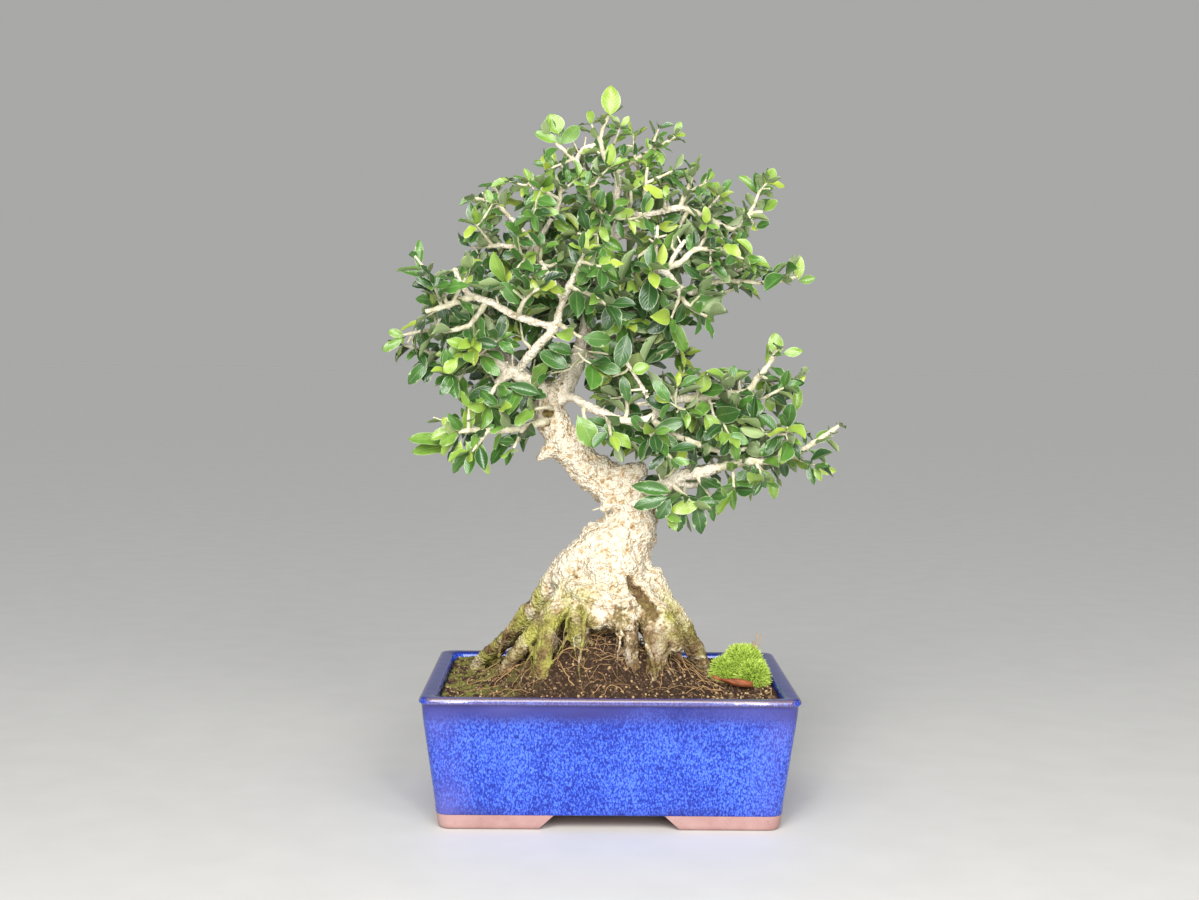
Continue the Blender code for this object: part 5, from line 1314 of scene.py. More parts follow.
@dataclass(frozen=True)
class Hollow:
    """A knot hole or a hollow in the wood, sunk in and darkened with painted shade: a front-view place, its radius and
    its depth.
    """

    x: float
    z: float
    y: float
    radius: float
    depth: float


@dataclass
class Wood:
    """Trunk, spread roots and limbs: tubes along the routes, melted into one skin and given bark."""

    bench: Bench
    soil: PottingSoil
    trunk_voxel: float = 0.9
    limb_voxel: float = 0.74
    seed: int = 7
    root_count: int = 44
    brow: tuple[tuple[str, list[tuple[float, float, float, float]]], ...] = (
        ("brow", [(-26, 121, -18, 4), (-15, 116, -26, 5.5), (-4, 112, -29, 5.5), (6, 110, -28, 5.5),
                  (16, 113, -22, 4.5)]),
        ("heel_left", [(-23, 110, -21, 5), (-13, 105, -28, 6.5), (-5, 100, -31, 5)]),
        ("heel_middle", [(-2, 105, -27, 6), (6, 100, -31, 6), (12, 97, -32, 4.5)]),
        ("heel_right", [(20, 112, -18, 4.5), (26, 106, -24, 6.5), (31, 99, -27, 7), (36, 92, -29, 6),
                        (38, 85, -31, 4)]),
        ("shoulder", [(-14, 140, -10, 8), (-22, 130, -9, 8), (-27, 122, -8, 7)]),
    )
    hollows: tuple[Hollow, ...] = (
        *(Hollow(12 + 1.4 * k, 124 - 2 * k, -22 - 0.7 * k, 3.2 + (k % 3) * 0.5, 4.5 - 0.25 * k) for k in range(11)),
        Hollow(-35, 217, -8, 4.0, 2.6), Hollow(-37, 211, -8, 3.0, 2.0),
        Hollow(-28, 234, -5, 2.4, 1.4), Hollow(-21, 128, -22, 3.0, 1.2), Hollow(2, 195, -10, 2.0, 0.8),
        Hollow(-17, 108, -33, 2.6, 1.0),
    )
    slimmed: tuple[tuple[str, float], ...] = (("left_limb", 0.78), ("cross_branch", 0.78), ("upper_left", 0.8),
                                              ("right_rung", 0.86), ("bare_twig", 0.85), ("middle", 0.8),
                                              ("crown", 0.82), ("left_fork", 0.9))
    limbs: list[Limb] = field(default_factory=list)

    def small_roots(self, rng: random.Random) -> list[Limb]:
        """Branch thin surface roots off the main ones, down onto the soil and along it until they sink in."""
        mains = [limb for limb in self.limbs if limb.name.startswith(("root", "heel"))]
        roots = []
        for k in range(self.root_count):
            main = mains[k % len(mains)]
            at = int(len(main.places) * rng.uniform(0.1, 0.85))
            along, side, over = main.frames[at]
            turn = rng.uniform(0, math.tau)
            out = (side * math.cos(turn) + over * math.sin(turn)).normalized()
            spot = main.places[at].to_3d() + out * main.places[at].w * 0.6
            away = Vector((spot.x + 4, spot.y * 1.2, 0)).normalized()
            thick = rng.uniform(0.6, 1.3) if k % 5 else rng.uniform(1.6, 2.5)
            points = [Vector((*spot, thick))]
            heading = (out + along * 0.4 + away * 0.3).normalized()
            for step in range(20):
                wander = Vector((rng.uniform(-0.5, 0.5), rng.uniform(-0.5, 0.5), rng.uniform(-0.2, 0.2)))
                heading = (heading * 0.8 + Vector((0, 0, -0.55)) + away * 0.18 + wander).normalized()
                spot = spot + heading * 2.8
                bed = self.soil.height(spot.x, spot.y) + thick * (0.5 - 0.09 * step)
                spot.z = max(spot.z, bed)
                thick *= 0.955
                points.append(Vector((*spot, thick)))
                if spot.z < self.soil.height(spot.x, spot.y) - 1.0:
                    break
            if len(points) > 2:
                roots.append(Limb("rootlet", spline(points, 1.2)))
        return roots

    def melt(self, name: str, limbs: Sequence[Limb], voxel: float, waver: float) -> bpy.types.Object:
        """Melt the tubes of several limbs into one skin."""
        verts: list[Vector] = []
        faces: list[list[int]] = []
        for limb in limbs:
            widest = max(p.w for p in limb.places)
            more, rows = limb.shell(20 if widest > 8 else 12, waver)
            faces += [[c + len(verts) for c in row] for row in rows]
            verts += more
        raw = outward(self.bench.mesh(name, verts, faces))
        skin = raw.modifiers.new("skin", "REMESH")
        skin.mode, skin.voxel_size = "VOXEL", voxel * MM
        ease = raw.modifiers.new("ease", "SMOOTH")
        ease.factor, ease.iterations = 0.5, 3
        return self.bench.settle(raw, name)

    def bark(self, skin: bpy.types.Object, limbs: Sequence[Limb]) -> None:
        """Raise the bark and write what its finish reads.

        Args:
            skin: the melted skin, whose points are moved along their normals.
            limbs: the limbs under it.
        """
        tree = KDTree(sum(len(limb.places) for limb in limbs))
        spots = [(limb, k) for limb in limbs for k in range(len(limb.places))]
        for index, (limb, k) in enumerate(spots):
            tree.insert(limb.places[k].to_3d(), index)
        tree.balance()
        data = skin.data
        wear = []
        hollows = [(seen(h.x, h.z, h.y), h) for h in self.hollows]
        normals = [n.vector.copy() for n in data.vertex_normals]
        for v in data.vertices:
            p = v.co / MM - self.bench.shift
            near = tree.find_n(p, 5)
            _, index, _ = min(near, key=lambda hit: hit[2] - spots[hit[1]][0].places[spots[hit[1]][1]].w)
            limb, k = spots[index]
            size = min(1.0, limb.places[k].w / 9.0)
            lump = noise.noise(p * 0.085 + Vector((9, 4, 1))) * 1.9 * size
            flute = noise.noise(Vector((p.x * 0.2, p.y * 0.2, p.z * 0.04))) * 1.4 * max(0.0, size - 0.3)
            knobs = (0.5 - noise.voronoi(p * 0.19)[0][0]) * 1.5 * size
            flake = (0.5 - noise.voronoi(p * 0.42)[0][0]) * 1.35 * size ** 0.5
            grit = noise.noise(p * 0.9) * 0.45 * size ** 0.5
            rise = lump + flute + knobs + flake + grit
            pit = damp_and_shade = 0.0
            for centre, hollow in hollows:
                gap = (p - centre).length
                if gap < hollow.radius * 1.3:
                    depth = smooth_step(hollow.radius * 1.2, hollow.radius * 0.3, gap)
                    pit = max(pit, depth * hollow.depth)
                    damp_and_shade = max(damp_and_shade, depth)
            v.co += normals[v.index] * (rise - pit) * MM
            height = p.z - self.soil.height(p.x, p.y)
            soaked = smooth_step(9.0, 0.5, height) * (0.55 + 0.7 * noise.noise(p * 0.2 + Vector((3, 3, 3))))
            level = smooth_step(138.0, 104.0, p.z)
            share = 0.16 + 0.66 * smooth_step(2.0, -18.0, p.x) + 0.3 * smooth_step(18.0, 34.0, p.x)
            green = level * share * (0.8 + 1.7 * noise.noise(p * 0.11))
            soaked = max(soaked, smooth_step(112.0, 94.0, p.z) * (0.42 + 1.1 * noise.noise(p * 0.14 + Vector((7, 1, 2)))))
            # Painted cavity shade: relief_shade darkens the bark's colour where the noise relief is low; the next line
            # also darkens it below 121 mm
            relief_shade = 0.5 + 0.5 * (knobs * 0.35 + flake * 0.6 + grit + flute * 0.2 + lump * 0.1) / max(0.35, size ** 0.5)
            relief_shade -= 0.42 * smooth_step(121.0, 106.0, p.z) * (0.6 + noise.noise(p * 0.09))
            # Painted shade in the hollows: their inside is darkened here and through the wet colour below; the next
            # line gives them algae
            relief_shade -= 0.75 * damp_and_shade
            green = max(green, damp_and_shade * (0.2 + 0.9 * noise.noise(p * 0.4)))
            wear.append(Vector((min(1.0, max(0.0, green)), min(0.92, max(soaked, 0.4 * damp_and_shade, 0.0)),
                                min(1.0, max(0.0, relief_shade)))))
        note(skin, "wear", "FLOAT_VECTOR", wear)

    def build(self, old: bpy.types.Material, young: bpy.types.Material, rng: random.Random) -> list[bpy.types.Object]:
        """Build the trunk with its roots, and the limbs.

        Args:
            old: the bark of the trunk and its roots.
            young: the bark of the limbs.
            rng: the source of the small roots' places.

        Returns:
            The two pieces.
        """
        for name, points in (*WOOD.items(), *self.brow):
            share = next((part for start, part in self.slimmed if name.startswith(start)), 1.0)
            self.limbs.append(limb_along(name, [(x, z, y, r * share) for x, z, y, r in points]))
        self.limbs += self.small_roots(rng)
        low = ("trunk", "knob", "nub", "pruned", "root", "brow", "heel", "shoulder")
        stems = [limb for limb in self.limbs if limb.name.startswith(low)]
        boughs = [limb for limb in self.limbs if not limb.name.startswith(low)]
        pieces = []
        for name, limbs, voxel, finish in (("trunk_and_roots", stems, self.trunk_voxel, old),
                                           ("limbs", boughs, self.limb_voxel, young)):
            skin = self.melt(name, limbs, voxel, 0.16)
            self.bark(skin, limbs)
            skin.data.materials.clear()
            skin.data.materials.append(finish)
            skin.data.shade_smooth()
            pieces.append(skin)
        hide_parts("trunk")
        for piece in pieces:
            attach(piece, "root")
        return pieces


class Region(Enum):
    """Which part of the crown a leaf belongs to."""

    BACK = "leaves_back"
    CROWN_LEFT = "leaves_crown_left"
    CROWN_RIGHT = "leaves_crown_right"
    LEFT = "leaves_left"
    HEART = "leaves_heart"
    RIGHT = "leaves_right"

    @classmethod
    def of(cls, point: Vector) -> Region:
        """Find the region of a point of the pot's frame, in millimetres."""
        if point.y > 22:
            return cls.BACK
        if point.z > 298:
            return cls.CROWN_LEFT if point.x < 2 else cls.CROWN_RIGHT
        if point.x < -34:
            return cls.LEFT
        return cls.RIGHT if point.x > 36 else cls.HEART


@dataclass(frozen=True)
class LeafForm:
    """One form of olive leaf, one unit long: how it bends, folds, twists and waves."""

    name: str
    bend: float
    fold: float
    twist: float
    wave: float
    broadest: float = 0.5
    point: float = 0.8
    stations: tuple[float, ...] = (0.0, 0.08, 0.16, 0.30, 0.46, 0.62, 0.77, 0.90, 1.0)
    thickness: float = 0.013

    def half_width(self, u: float) -> float:
        """Half the width at a share of the length: a short stalk, then the blade."""
        if u < 0.08:
            return 0.03
        t = (u - 0.07) / 0.93
        lean = t ** (math.log(0.5) / math.log(self.broadest))
        return max(0.012, 0.5 * (4 * lean * (1 - lean)) ** self.point)

    def make(self, shelf: bpy.types.Collection) -> None:
        """Make the leaf's closed mesh, +X along it and +Z over it, with the attributes its finish reads."""
        across = (-1.0, -0.5, 0.0, 0.5, 1.0)
        under = (0.55, 0.0, -0.55)
        verts: list[tuple[float, float, float]] = []
        blade: list[tuple[float, float, float]] = []
        for u in self.stations:
            half = self.half_width(u)
            drop = -self.bend * u * u
            roll = self.twist * (u - 0.3)
            for k, v in enumerate(across + under):
                lift = self.fold * abs(v) * half + self.wave * half * math.sin(u * 11 + v * 1.3) * v * v
                lift += 0.05 * half * (1 - abs(v)) * (1 if k < 5 else -1)
                lift -= self.thickness * (1.0 if k >= 5 else 0.0)
                y = v * half
                verts.append((u * (1 - 0.35 * self.bend * u), y * math.cos(roll) - lift * math.sin(roll),
                              y * math.sin(roll) + lift * math.cos(roll) + drop))
                blade.append((max(0.0, (u - 0.07) / 0.93), v, 0.0))
        ring, last = 8, len(self.stations) - 1
        faces = [(r * ring + k, (r + 1) * ring + k, (r + 1) * ring + (k + 1) % ring, r * ring + (k + 1) % ring)
                 for r in range(last) for k in range(ring)]
        lower = [k >= 4 for _ in range(last) for k in range(ring)]
        faces += [(0, 1, 2, 3, 4, 5, 6, 7), tuple(last * ring + k for k in reversed(range(ring)))]
        lower += [False, False]
        data = bpy.data.meshes.new(self.name)
        data.from_pydata(verts, [], faces)
        leaf = outward(bpy.data.objects.new(self.name, data))
        note(leaf, "blade", "FLOAT_VECTOR", [Vector(p) for p in blade])
        note(leaf, "underside", "FLOAT", [float(x) for x in lower], "FACE")
        data.shade_smooth()
        note(leaf, "sharp_edge", "BOOLEAN", [{v % ring for v in edge.vertices} in ({0}, {4}) for edge in data.edges],
             "EDGE")
        shelf.objects.link(leaf)


@dataclass
class Leaf:
    """A placed leaf: its foot, the frame it lies in, its size in millimetres and its tone."""

    foot: Vector
    along: Vector
    up: Vector
    length: float
    width: float
    tone: float
    region: Region | None = None

    def __post_init__(self) -> None:
        """Square the frame and find the tip."""
        self.along = self.along.normalized()
        self.up = (self.up - self.along * self.up.dot(self.along)).normalized()
        self.side = self.up.cross(self.along)
        self.tip = self.foot + self.along * self.length
        self.middle = self.foot + self.along * self.length * 0.55

    def ribs(self) -> list[tuple[Vector, Vector]]:
        """Lines that stand for the blade where its neighbours are tested against it."""
        half = self.side * self.width * 0.42
        low, mid, high = (self.foot + self.along * self.length * t for t in (0.3, 0.55, 0.8))
        return [(self.foot + self.along * self.length * 0.12, self.tip), (mid - half, mid + half),
                (low - half * 0.85, low + half * 0.85), (high - half * 0.75, high + half * 0.75)]

    def cut_by(self, line: tuple[Vector, Vector]) -> bool:
        """Say whether a line passes through the blade."""
        a, b = line
        high, low = (a - self.foot).dot(self.up), (b - self.foot).dot(self.up)
        if high * low > 0 or abs(high - low) < 1e-9:
            return False
        hit = a.lerp(b, high / (high - low)) - self.foot
        u, v = hit.dot(self.along) / self.length, hit.dot(self.side) / (self.width * 0.5)
        return 0.08 < u < 1.0 and ((u - 0.54) / 0.5) ** 2 + v * v < 1.0


@dataclass
class Shoot:
    """A leafy twig: its samples with radius, how green it is, and the length of its leaves (0 for a bare one)."""

    route: list[Vector]
    leaf: float
    fresh: float
    dense: bool = True


@dataclass
class Foliage:
    """The crown: twigs and leaves along the source's shoots, and more of both grown between them."""

    bench: Bench
    wood: Wood
    box: tuple[Vector, Vector]
    seed: int = 21
    fill: tuple[tuple[float, float, float, float, float, float, int], ...] = (
        (10, 325, 0, 60, 32, 36, 84), (-50, 318, -5, 36, 30, 30, 54), (0, 354, 0, 42, 20, 22, 36),
        (58, 312, -8, 34, 24, 26, 36), (10, 288, -10, 52, 24, 32, 52), (-45, 285, -15, 40, 24, 28, 44),
        (-85, 272, -18, 34, 24, 22, 34), (-62, 245, -10, 42, 18, 26, 30), (-78, 212, -22, 24, 14, 14, 16),
        (-5, 242, -12, 34, 20, 24, 26), (20, 216, -18, 30, 22, 24, 26), (62, 230, -8, 34, 16, 20, 28),
        (80, 202, -16, 40, 18, 20, 30), (36, 176, -18, 20, 16, 16, 12), (0, 304, 34, 60, 42, 20, 52),
        (20, 250, 44, 46, 26, 16, 20), (-50, 262, 34, 36, 32, 20, 26), (60, 205, 42, 32, 20, 18, 16),
        (92, 292, -4, 20, 14, 14, 6), (96, 240, -10, 14, 14, 12, 6), (-112, 262, -14, 16, 16, 12, 10))
    accents: tuple[tuple[float, float, float, float, float, float, float, float], ...] = (
        (-2, 380, -2, -1, 401, 11, 0.78, 0), (0, 384, 1, 7, 402, 6.5, 0.8, 0.6),
        (-30, 370, -5, -35, 383, 11, 0.68, 0.1), (-30, 366, -6, -44, 372, 6.5, 0.6, 0),
        (-29, 365, -4, -19, 375, 8, 0.56, 0.2), (-15, 304, -38, -16, 318, 5.5, 0.95, 0),
        (-14, 299, -34, -10, 305, 5.5, 0.9, 0), (-14, 297, -34, -6, 299, 5, 0.84, 0.1),
        (-19, 216, -32, -7, 197, 12, 0.6, 0), (50, 228, -20, 52, 240, 9, 0.76, 0),
        (52, 218, -20, 62, 201, 9.5, 0.72, 0), (11, 240, -34, 22, 244, 7, 0.66, 0),
        (-82, 251, -22, -91, 251, 7, 0.62, 0), (-115, 258, -16, -128, 251, 5, 0.6, 0.2),
        (-115, 259, -16, -124, 262, 5, 0.62, 0), (9, 262, -34, 4, 241, 9.5, 0.33, 0),
        (2, 280, -36, -4, 262, 9, 0.32, 0.1), (-23, 242, -30, -40, 250, 9.5, 0.36, 0),
        (-38, 227, -26, -57, 232, 7.5, 0.34, 0), (-101, 245, -16, -115, 232, 8, 0.36, 0.1),
        (23, 207, -30, 42, 214, 7.5, 0.4, 0), (22, 206, -30, 39, 198, 8, 0.38, 0),
        (21, 204, -32, 17, 190, 7.5, 0.36, 0), (20, 207, -30, 11, 215, 7.5, 0.4, 0.1),
        (47, 169, -24, 53, 148, 8.5, 0.34, 0), (40, 165, -22, 38, 150, 7, 0.33, 0.1),
        (55, 174, -24, 58, 155, 5, 0.4, 0.2), (67, 180, -20, 69, 162, 5.5, 0.55, 0.2),
        (76, 187, -16, 69, 174, 9, 0.45, 0), (34, 173, -30, 11, 178, 8, 0.4, 0),
        (33, 171, -32, 12, 165, 7.5, 0.36, 0.1), (34, 170, -30, 26, 157, 8, 0.34, 0),
        (92, 249, -8, 91, 263, 8.5, 0.7, 0), (95, 251, -8, 107, 253, 5.5, 0.66, 0.1),
        (103, 291, -8, 104, 306, 6, 0.8, 0), (103, 291, -9, 113, 293, 5, 0.6, 0.2),
        (83, 341, -6, 89, 353, 7, 0.72, 0), (80, 338, -6, 70, 351, 5, 0.6, 0.2),
        (113, 187, -10, 127, 186, 5.5, 0.88, 0.1), (113, 202, -8, 123, 208, 6.5, 0.58, 0),
        (87, 228, -8, 90, 218, 6, 0.7, 0.1), (102, 218, -8, 105, 234, 6, 0.66, 0.1),
        (90, 181, -14, 92, 169, 6, 0.66, 0.1), (104, 188, -10, 93, 195, 6, 0.55, 0.1),
        (-86, 202, -24, -112, 201, 9, 0.6, 0.2), (-84, 204, -26, -94, 215, 7, 0.86, 0),
        (-81, 204, -22, -77, 224, 7, 0.74, 0.1), (-83, 202, -28, -88, 185, 6.5, 0.85, 0),
        (-81, 201, -25, -69, 190, 10, 0.62, 0), (-79, 205, -22, -64, 210, 6, 0.5, 0.2),
        (-85, 200, -20, -110, 194, 8.5, 0.62, 0.1), (-74, 195, -20, -67, 182, 5, 0.8, 0.1),
        (-107, 295, -6, -106, 313, 5, 0.5, 0.2), (-102, 292, -8, -118, 296, 5, 0.5, 0.1),
        (-92, 277, -10, -110, 282, 8, 0.42, 0.1), (-81, 286, -22, -80, 295, 7, 0.8, 0))
    outline: tuple[tuple[float, float], ...] = (
        (-4, 402), (11, 404), (15, 382), (38, 380), (45, 365), (58, 354), (61, 346), (71, 351), (88, 356),
        (102, 342), (88, 333), (86, 318), (74, 314), (73, 307), (89, 300), (103, 308), (115, 291), (89, 281),
        (77, 282), (62, 280), (75, 266), (61, 263), (46, 248), (26, 250), (23, 244), (61, 246), (79, 241),
        (89, 265), (109, 252), (108, 232), (101, 218), (117, 218), (138, 210), (128, 179), (98, 168),
        (82, 172), (63, 164), (57, 147), (37, 150), (6, 164), (-28, 218), (-42, 216), (-29, 190), (-50, 190),
        (-67, 182), (-97, 181), (-114, 197), (-100, 216), (-89, 218), (-84, 225), (-98, 226), (-117, 232),
        (-129, 251), (-119, 266), (-107, 272), (-112, 283), (-121, 295), (-110, 313), (-103, 311), (-97, 295),
        (-83, 300), (-85, 308), (-92, 325), (-83, 338), (-68, 347), (-49, 356), (-39, 359), (-46, 372),
        (-39, 385), (-24, 377), (-15, 380))
    bare: tuple[tuple[str, float, float, float, float], ...] = (
        ("trunk", -60, 60, 0, 222), ("knob", -60, 60, 0, 400), ("nub", -60, 60, 0, 400),
        ("pruned", -60, 60, 0, 400), ("leader", -60, 60, 218, 262), ("left_limb", -100, -40, 258, 290),
        ("low_right_branch", 34, 92, 150, 400), ("right_rung", -24, -3, 0, 400), ("right_rung", 35, 78, 0, 400),
        ("bare_twig", -200, 200, 0, 400), ("cross_branch", -60, 60, 240, 268), ("crown_right", 10, 100, 280, 345),
        ("middle_twig", -60, 60, 0, 400), ("upper_left_limb", -90, -50, 298, 308), ("left_fork", -120, -90, 0, 400))
    leaves: list[Leaf] = field(default_factory=list)
    shoots: list[Shoot] = field(default_factory=list)
    nearby: dict[tuple[int, int, int], list[Leaf]] = field(default_factory=dict)

    def source_shoots(self) -> None:
        """Bring in the shoots of the part's source."""
        for stems in SHOOTS.values():
            for points, foot, leaf in stems:
                route = spline([Vector((*seen(x, z, y), foot * (1 - 0.5 * k / (len(points) - 1))))
                                for k, (x, z, y) in enumerate(points)], 2.2)
                self.shoots.append(Shoot(route, leaf, 0.25))

    def fill_shoots(self, rng: random.Random) -> None:
        """Grow twigs from the nearest wood towards seeded places in the crown's clumps, nearest first."""
        base = [p for limb in self.wood.limbs if not limb.name.startswith(("root", "heel", "brow", "shoulder"))
                for p in limb.places if p.z > 150]
        base += [p for shoot in self.shoots for p in shoot.route]
        targets = []
        for cx, cz, cy, rx, rz, ry, count in self.fill:
            for _ in range(count):
                way = Vector((rng.gauss(0, 1), rng.gauss(0, 1), rng.gauss(0, 1))).normalized()
                way *= rng.uniform(0.45, 1.0)
                targets.append(seen(cx + way.x * rx, cz + way.z * rz, cy + way.y * ry))
        while targets:
            tree = KDTree(len(base))
            for k, p in enumerate(base):
                tree.insert(p.to_3d(), k)
            tree.balance()
            targets.sort(key=lambda t: tree.find(t)[2])
            batch, targets = targets[:24], targets[24:]
            for target in batch:
                spot, index, gap = tree.find(target)
                if not 9 < gap < 52:
                    continue
                start = base[index]
                reach = target - spot
                rise = Vector((0, 0, 1)) * gap * rng.uniform(0.05, 0.22)
                bow = Vector(rng.uniform(-1, 1) for _ in range(3)) * gap * 0.14
                thick = min(1.25, max(0.75, start.w * 0.75))
                points = [Vector((*spot, thick)), Vector((*(spot + reach * 0.35 + bow - rise * 0.4), thick * 0.85)),
                          Vector((*(spot + reach * 0.7 + bow * 0.5 - rise * 0.2), thick * 0.68)),
                          Vector((*target, thick * 0.5))]
                route = spline(points, 2.2)
                if any(self.outside(p) or not self.within(p) for p in route[2:]):
                    continue
                leaf = rng.choice((12.0, 13.5, 14.5, 16.0, 17.5))
                self.shoots.append(Shoot(route, leaf, rng.uniform(0.1, 0.7)))
                base += route[2:]

    def outside(self, point: Vector) -> bool:
        """Say whether a point leaves the box of the solids."""
        low, high = self.box
        place = self.bench.metres(point)
        return any(not a + 0.0002 < c < b - 0.0002 for a, c, b in zip(low, place, high))

    def within(self, point: Vector) -> bool:
        """Say whether the front view shows a point inside the crown's outline."""
        shown, inside = in_view(point), False
        for (ax, az), (bx, bz) in zip(self.outline, self.outline[1:] + self.outline[:1]):
            if (az > shown.y) != (bz > shown.y) and shown.x < ax + (bx - ax) * (shown.y - az) / (bz - az):
                inside = not inside
        return inside

    def bare_wood(self) -> list[tuple[Vector, float, float]]:
        """List samples of the wood that the front view shows bare, in view millimetres."""
        return [(in_view(p), p.w, p.y) for name, left, right, low, high in self.bare for limb in self.wood.limbs
                if limb.name.startswith(name) for p in limb.places[::2]
                if left < in_view(p).x < right and low < in_view(p).y < high]

    def fits(self, leaf: Leaf, bare: list[tuple[Vector, float, float]], wood: KDTree, radii: list[float]) -> bool:
        """Say whether a leaf stays in the box, clear of wood and other leaves, and off the bare wood's view."""
        ribs = leaf.ribs()
        ends = [p for rib in ribs for p in rib]
        if any(self.outside(p) for p in ends) or not (self.within(leaf.tip) and self.within(leaf.middle)):
            return False
        for p in (leaf.middle, leaf.tip, *ends[2:]):
            for _, index, gap in wood.find_n(p, 2):
                if gap < radii[index] + 0.5:
                    return False
        shown = in_view(leaf.middle)
        for place, radius, depth in bare:
            if leaf.middle.y < depth - 1 and (place - shown).length < radius + 3.0:
                return False
        for other in self.near(leaf):
            if (other.middle - leaf.middle).length > (other.length + leaf.length) * 0.62:
                continue
            if (other.middle - leaf.middle).length < 1.6:
                return False
            if any(other.cut_by(rib) for rib in ribs) or any(leaf.cut_by(rib) for rib in other.ribs()):
                return False
        return True

    def cell(self, point: Vector) -> tuple[int, int, int]:
        """The cell of a point in the table of neighbours."""
        return tuple(int(c // 12) for c in point)

    def near(self, leaf: Leaf) -> Iterable[Leaf]:
        """Yield the leaves placed near another."""
        x, y, z = self.cell(leaf.middle)
        for dx in (-1, 0, 1):
            for dy in (-1, 0, 1):
                for dz in (-1, 0, 1):
                    yield from self.nearby.get((x + dx, y + dy, z + dz), ())

    def keep(self, leaf: Leaf) -> None:
        """Keep a leaf that fits."""
        leaf.region = Region.of(leaf.middle)
        self.leaves.append(leaf)
        self.nearby.setdefault(self.cell(leaf.middle), []).append(leaf)

    def tone_at(self, point: Vector, tip: float, rng: random.Random) -> float:
        """Choose how young a leaf looks: 0 old and dark, 1 new and lime."""
        tone = rng.gauss(0.31, 0.13) + 0.12 * smooth_step(280, 360, point.z) + 0.2 * tip * rng.random()
        if tip > 0.8 and rng.random() < 0.3:
            tone = rng.uniform(0.62, 0.95)
        return min(1.0, max(0.0, tone))

    def leaf_up(self, shoot: Shoot, test: Any, rng: random.Random) -> None:
        """Set pairs of leaves along a shoot, quarter-turned from pair to pair, and a rosette at its tip."""
        route = shoot.route
        total, run = sum((b - a).to_3d().length for a, b in zip(route, route[1:])), 0.0
        light = Vector((-0.12, -0.55, 0.8))
        spacing = shoot.leaf * rng.uniform(0.34, 0.44)
        start = max(4.0 if total < 30 else total * 0.18, 0.0)
        due, turn = start, rng.uniform(0, math.pi)
        for a, b in zip(route, route[1:]):
            run += (b - a).to_3d().length
            if run < due and b is not route[-1]:
                continue
            due += spacing
            turn += math.pi / 2 + rng.uniform(-0.3, 0.3)
            tip = min(1.0, max(0.0, run / total))
            along = (b - a).to_3d().normalized()
            side = along.orthogonal().normalized()
            side = side * math.cos(turn) + along.cross(side) * math.sin(turn)
            pairs = [(side, 58), (-side, 58)]
            if b is route[-1]:
                other = along.cross(side)
                pairs = [(side, 34), (-side, 34), (other, 52), (-other, 52)]
            for out, spread in pairs:
                for _ in range(4):
                    angle = math.radians(spread + rng.uniform(-16, 18))
                    heading = along * math.cos(angle) + out * math.sin(angle)
                    heading += Vector((rng.uniform(-0.22, 0.22), rng.uniform(-0.3, 0.1), rng.uniform(-0.22, 0.26)))
                    up = along * 0.5 + light * rng.uniform(0.35, 1.1) + Vector(rng.uniform(-0.5, 0.5) for _ in range(3))
                    if abs(up.normalized().dot(heading.normalized())) > 0.96:
                        up = out.cross(along)
                    grown = 0.86 + 0.28 * smooth_step(350, 290, b.z)
                    size = shoot.leaf * grown * rng.uniform(0.8, 1.2) * (1.0 - 0.3 * tip * rng.random())
                    leaf = Leaf(b.to_3d() + out * b.w * 0.5, heading, up, size, size * rng.uniform(0.38, 0.50),
                                self.tone_at(b.to_3d(), tip, rng))
                    if self.fits(leaf, *test):
                        self.keep(leaf)
                        break

    def set_accents(self) -> None:
        """Place the leaves that stand out in the front view, each from its foot to its tip."""
        for x, z, y, tip_x, tip_z, width, tone, edge in self.accents:
            foot, tip = seen(x, z, y), seen(tip_x, tip_z, y - 2)
            along = tip - foot
            up = Vector((0.1, -1.0, 0.25)).lerp(along.cross(Vector((0, -1, 0.2))).normalized(), edge)
            for share in (1.0, 0.96, 0.92, 0.88, 0.84):
                leaf = Leaf(foot, along, up, (tip - foot).length * share, width, tone)
                if not any(self.outside(p) for rib in leaf.ribs() for p in rib):
                    self.keep(leaf)
                    break

    def leaf_rule(self) -> Rule:
        """Write the rule that sets a leaf of some form on each point, turned, sized and toned by its attributes."""
        rule = Rule("olive_leaves", {"Forms": bpy.types.Collection, "Finish": bpy.types.Material})
        src = rule.source
        forms = rule.add("GeometryNodeCollectionInfo", links={"Collection": src["Forms"], "Separate Children": True,
                                                              "Reset Children": True})
        turn = rule.add("GeometryNodeInputNamedAttribute", {"data_type": "FLOAT_VECTOR"}, {"Name": "turn"})
        size = rule.add("GeometryNodeInputNamedAttribute", {"data_type": "FLOAT_VECTOR"}, {"Name": "size"})
        kind = rule.add("GeometryNodeInputNamedAttribute", {"data_type": "INT"}, {"Name": "form"})
        spots = rule.add("GeometryNodeMeshToPoints", links={"Mesh": src[0]})
        placed = rule.add("GeometryNodeInstanceOnPoints",
                          links={"Points": spots.outputs[0], "Instance": forms.outputs[0], "Pick Instance": True,
                                 "Instance Index": kind.outputs[0], "Rotation": turn.outputs[0],
                                 "Scale": size.outputs[0]})
        rule.end(placed.outputs[0], src["Finish"])
        return rule

